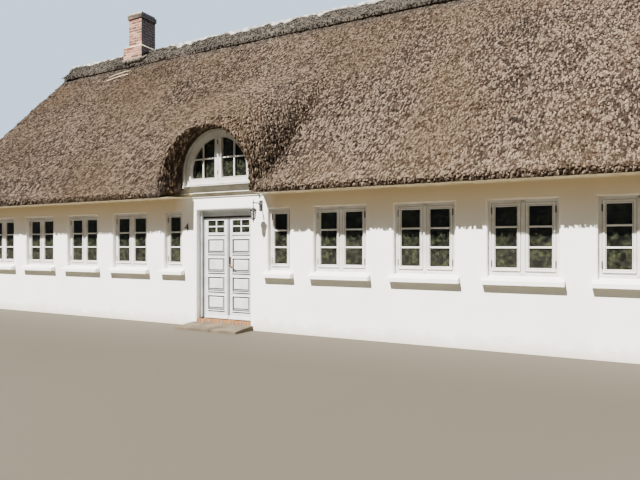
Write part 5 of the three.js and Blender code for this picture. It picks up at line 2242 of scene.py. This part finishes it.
@dataclass
class WallLamp:
    """An iron lantern that hangs in a bracket beside the door."""

    x: float = 0.98
    out: float = 0.27
    top: float = 2.5197
    sides: int = 6
    plate: tuple[float, float] = (2.461, 2.675)
    bolt_in: float = 0.021
    arm_foot: float = 2.585
    arm: tuple[tuple[float, float], ...] = ((0.01, 2.585), (0.07, 2.59), (0.12, 2.618), (0.2, 2.61),
                                            (0.27, 2.608))

    def bracket(self) -> Mesh:
        """Models the plate with its bolts, the arm with its scroll, and the stem.

        Returns:
            The bracket.
        """
        x, (low, high) = self.x, self.plate
        dome = [(0.0, 0.0), (0.01, 0.0), (0.01, 0.003), (0.006, 0.007), (0.0, 0.008)]
        rose = [(0.0, 0.0), (0.028, 0.0), (0.03, 0.006), (0.018, 0.016), (0.011, 0.03), (0.0, 0.032)]
        stem = [(0.0, 0.0), (0.012, 0.0), (0.013, 0.02), (0.008, 0.03), (0.008, 0.068), (0.016, 0.076),
                (0.016, 0.1), (0.008, 0.108), (0.007, 0.145), (0.003, 0.162), (0.0, 0.167)]
        return together("lamp_bracket_iron", [
            box("lamp_plate", (x - 0.043, WALL_FACE - 0.012, low), (x + 0.043, WALL_FACE, high), 0.004, 3),
            *(turned("bolt", dome, (x, WALL_FACE - 0.011, z), 8, forwards=True)
              for z in (low + self.bolt_in, high - self.bolt_in)),
            turned("rose", rose, (x, WALL_FACE - 0.01, self.arm_foot), 16, forwards=True),
            bar_along("arm", [(x, WALL_FACE - out, z) for out, z in self.arm], 0.0115),
            turned("stem", stem, (x, WALL_FACE - self.out, self.top), 14),
        ])

    def cage(self) -> tuple[Mesh, Mesh, Mesh]:
        """Models the hanging part.

        Returns:
            The lantern's roof, bars and foot, its panes, and its candle lamp.
        """
        centre = (self.x, WALL_FACE - self.out, self.top)
        shell = turned("lantern_cage", [(0.044, -0.235), (0.066, -0.062)], centre, self.sides)
        panes = twin(shell, "lantern_panes", Matrix.Identity(4))
        edit_all(shell)
        bpy.ops.mesh.inset(thickness=0.008, use_individual=True)
        bpy.ops.mesh.delete(type="FACE")
        rest()
        shape_with(shell, "SOLIDIFY", thickness=0.007, offset=0)
        shape_with(panes, "SOLIDIFY", thickness=0.0015, offset=0)
        roof = [(0.0, 0.0), (0.011, 0.0), (0.013, -0.01), (0.024, -0.013), (0.06, -0.036), (0.084, -0.055),
                (0.083, -0.06), (0.066, -0.064), (0.0, -0.058)]
        foot = [(0.0, -0.232), (0.046, -0.232), (0.047, -0.24), (0.033, -0.25), (0.015, -0.263),
                (0.011, -0.285), (0.014, -0.292), (0.009, -0.303), (0.0, -0.31)]
        bulb = [(0.0, -0.23), (0.011, -0.23), (0.011, -0.16), (0.008, -0.155), (0.013, -0.135),
                (0.012, -0.115), (0.004, -0.095), (0.0, -0.092)]
        ends = [turned("end", profile, centre, self.sides) for profile in (roof, foot)]
        candle = turned("lantern_bulb", bulb, centre, 14)
        return together("lantern_cage", [shell, *ends]), panes, candle

    def build(self) -> None:
        """Builds the lamp."""
        dress(self.bracket(), IRON, "black_iron", ["lamp_bracket"])
        cage, panes, candle = self.cage()
        dress(cage, IRON, "black_iron", ["lamp_lantern"])
        dress(panes, LANTERN_GLASS, "window_glass")
        dress(candle, PORCELAIN, "window_glass")


@dataclass
class Rods:
    """Peeled rods that hold the thatch down below the chimney."""

    left: float = -6.68
    right: float = -5.88
    foot_y: float = -0.78
    pitch: float = 0.125
    rise: float = 0.105
    slip: float = 0.04
    lift: float = 0.045
    sunk_end: float = 0.02
    radius: float = 0.013

    def build(self) -> None:
        """Models the rods, which climb a little from left to right across the slope."""
        parts = []
        for index in range(2):
            points = []
            for step in range(5):
                x = self.left + (self.right - self.left) * step / 4 + self.slip * (1 - index)
                y = self.foot_y + index * self.pitch + self.rise * step / 4
                z = EAVE_HEIGHT + SLOPE * (EAVE + y) + self.lift - self.sunk_end * (step in (0, 4))
                points.append((x, y, z))
            parts.append(bar_along("rod", points, self.radius, 2))
        dress(together("thatching_rods", parts), HAZEL, "reed_thatch")


@dataclass
class Numeral:
    """A plain iron house number beside the door."""

    text: str = "4"
    left: float = -1.05
    foot: float = 2.075
    height: float = 0.24

    def build(self) -> None:
        """Cuts the numeral from plate and pins it just off the wall."""
        rest()
        bpy.ops.object.text_add(location=(self.left, WALL_FACE, self.foot), rotation=(math.pi / 2, 0, 0))
        letter = bpy.context.active_object.data
        letter.body = self.text
        letter.size = self.height
        letter.extrude = 0.004
        letter.bevel_depth = 0.0008
        letter.resolution_u = 4
        bpy.ops.object.convert(target="MESH")
        piece = settle(bpy.context.active_object)
        piece.name = "house_number"
        piece.data.transform(Matrix.Translation((0, -0.005, 0)))
        dress(weld(piece, 0.00002, flatten=False), IRON, "black_iron")


# Studio


@dataclass
class Studio:
    """A pale floor, soft light from the upper left, and a level camera."""

    camera_at: Point = (7.457, -13.012, 1.74)
    turn: float = 28.24
    lens: float = 31.5
    shift: float = 0.0095
    suns: tuple[tuple[Point, float, float, str], ...] = (((0.18, 0.70, -0.80), 19.0, 1.0, "#fffaf2"),
                                                         ((-0.15, -0.80, -0.55), 10.0, 40.0, "#eef3fa"))
    paper: str = "#4a4438"
    sky: str = "#bdd3ea"
    shown: float = 1.95
    fill: float = 0.14

    def build(self) -> None:
        """Builds the studio."""
        self.floor()
        self.lights()
        rest()
        bpy.ops.object.camera_add(location=self.camera_at, rotation=(math.pi / 2, 0, math.radians(self.turn)))
        camera = bpy.context.active_object
        camera.data.lens = self.lens
        camera.data.sensor_width = 36
        camera.data.shift_y = self.shift
        bpy.context.scene.camera = camera

    def floor(self) -> None:
        """Lays a plain pale floor."""
        rest()
        bpy.ops.mesh.primitive_plane_add(size=400)
        ground = bpy.context.active_object
        ground.name = "studio_floor"
        made = bpy.data.materials.new("studio_floor_paper")
        made.use_nodes = True
        shader = made.node_tree.nodes["Principled BSDF"]
        shader.inputs["Base Color"].default_value = linear(self.paper)
        shader.inputs["Roughness"].default_value = 0.95
        ground.data.materials.append(made)
        ground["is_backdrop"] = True

    def lights(self) -> None:
        """Sets the key and rim lights and an even sky that shows paler than it lights."""
        for runs, strength, angle, colour in self.suns:
            rest()
            bpy.ops.object.light_add(type="SUN", location=(0, 0, 20))
            lamp = bpy.context.active_object
            lamp.rotation_mode = "QUATERNION"
            lamp.rotation_quaternion = Vector(runs).to_track_quat("-Z", "Y")
            lamp.data.energy = strength
            lamp.data.angle = math.radians(angle)
            lamp.data.color = linear(colour)[:3]
        world = bpy.data.worlds.new("studio")
        bpy.context.scene.world = world
        world.use_nodes = True
        tree = world.node_tree
        tree.nodes.clear()
        seen = put(tree, "Background", {"Color": self.sky, "Strength": self.shown})
        lit = put(tree, "Background", {"Color": self.sky, "Strength": self.fill})
        both = put(tree, "MixShader", {0: put(tree, "LightPath"), 1: lit, 2: seen})
        put(tree, "OutputWorld", {"Surface": both})


def corners() -> list[list[float]]:
    """The lowest and highest corner of what is shown, as plain lists."""
    return [list(corner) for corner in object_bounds()]


def main() -> None:
    """Builds the studio and every sub-assembly in order."""
    logging.basicConfig(level=logging.INFO, format="%(message)s")
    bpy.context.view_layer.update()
    roofing = Roofing()
    for assembly in (Studio(), roofing, Ridge(roofing), Chimney(), Walls(), EaveBoards(), Dormer(),
                     DoubleDoor(), WallLamp(), Rods(), Numeral()):
        assembly.build()
    for node in ("ground_floor", "attic_floor"):
        dress_node(node, BOARDS)


if __name__ == "__main__":
    main()
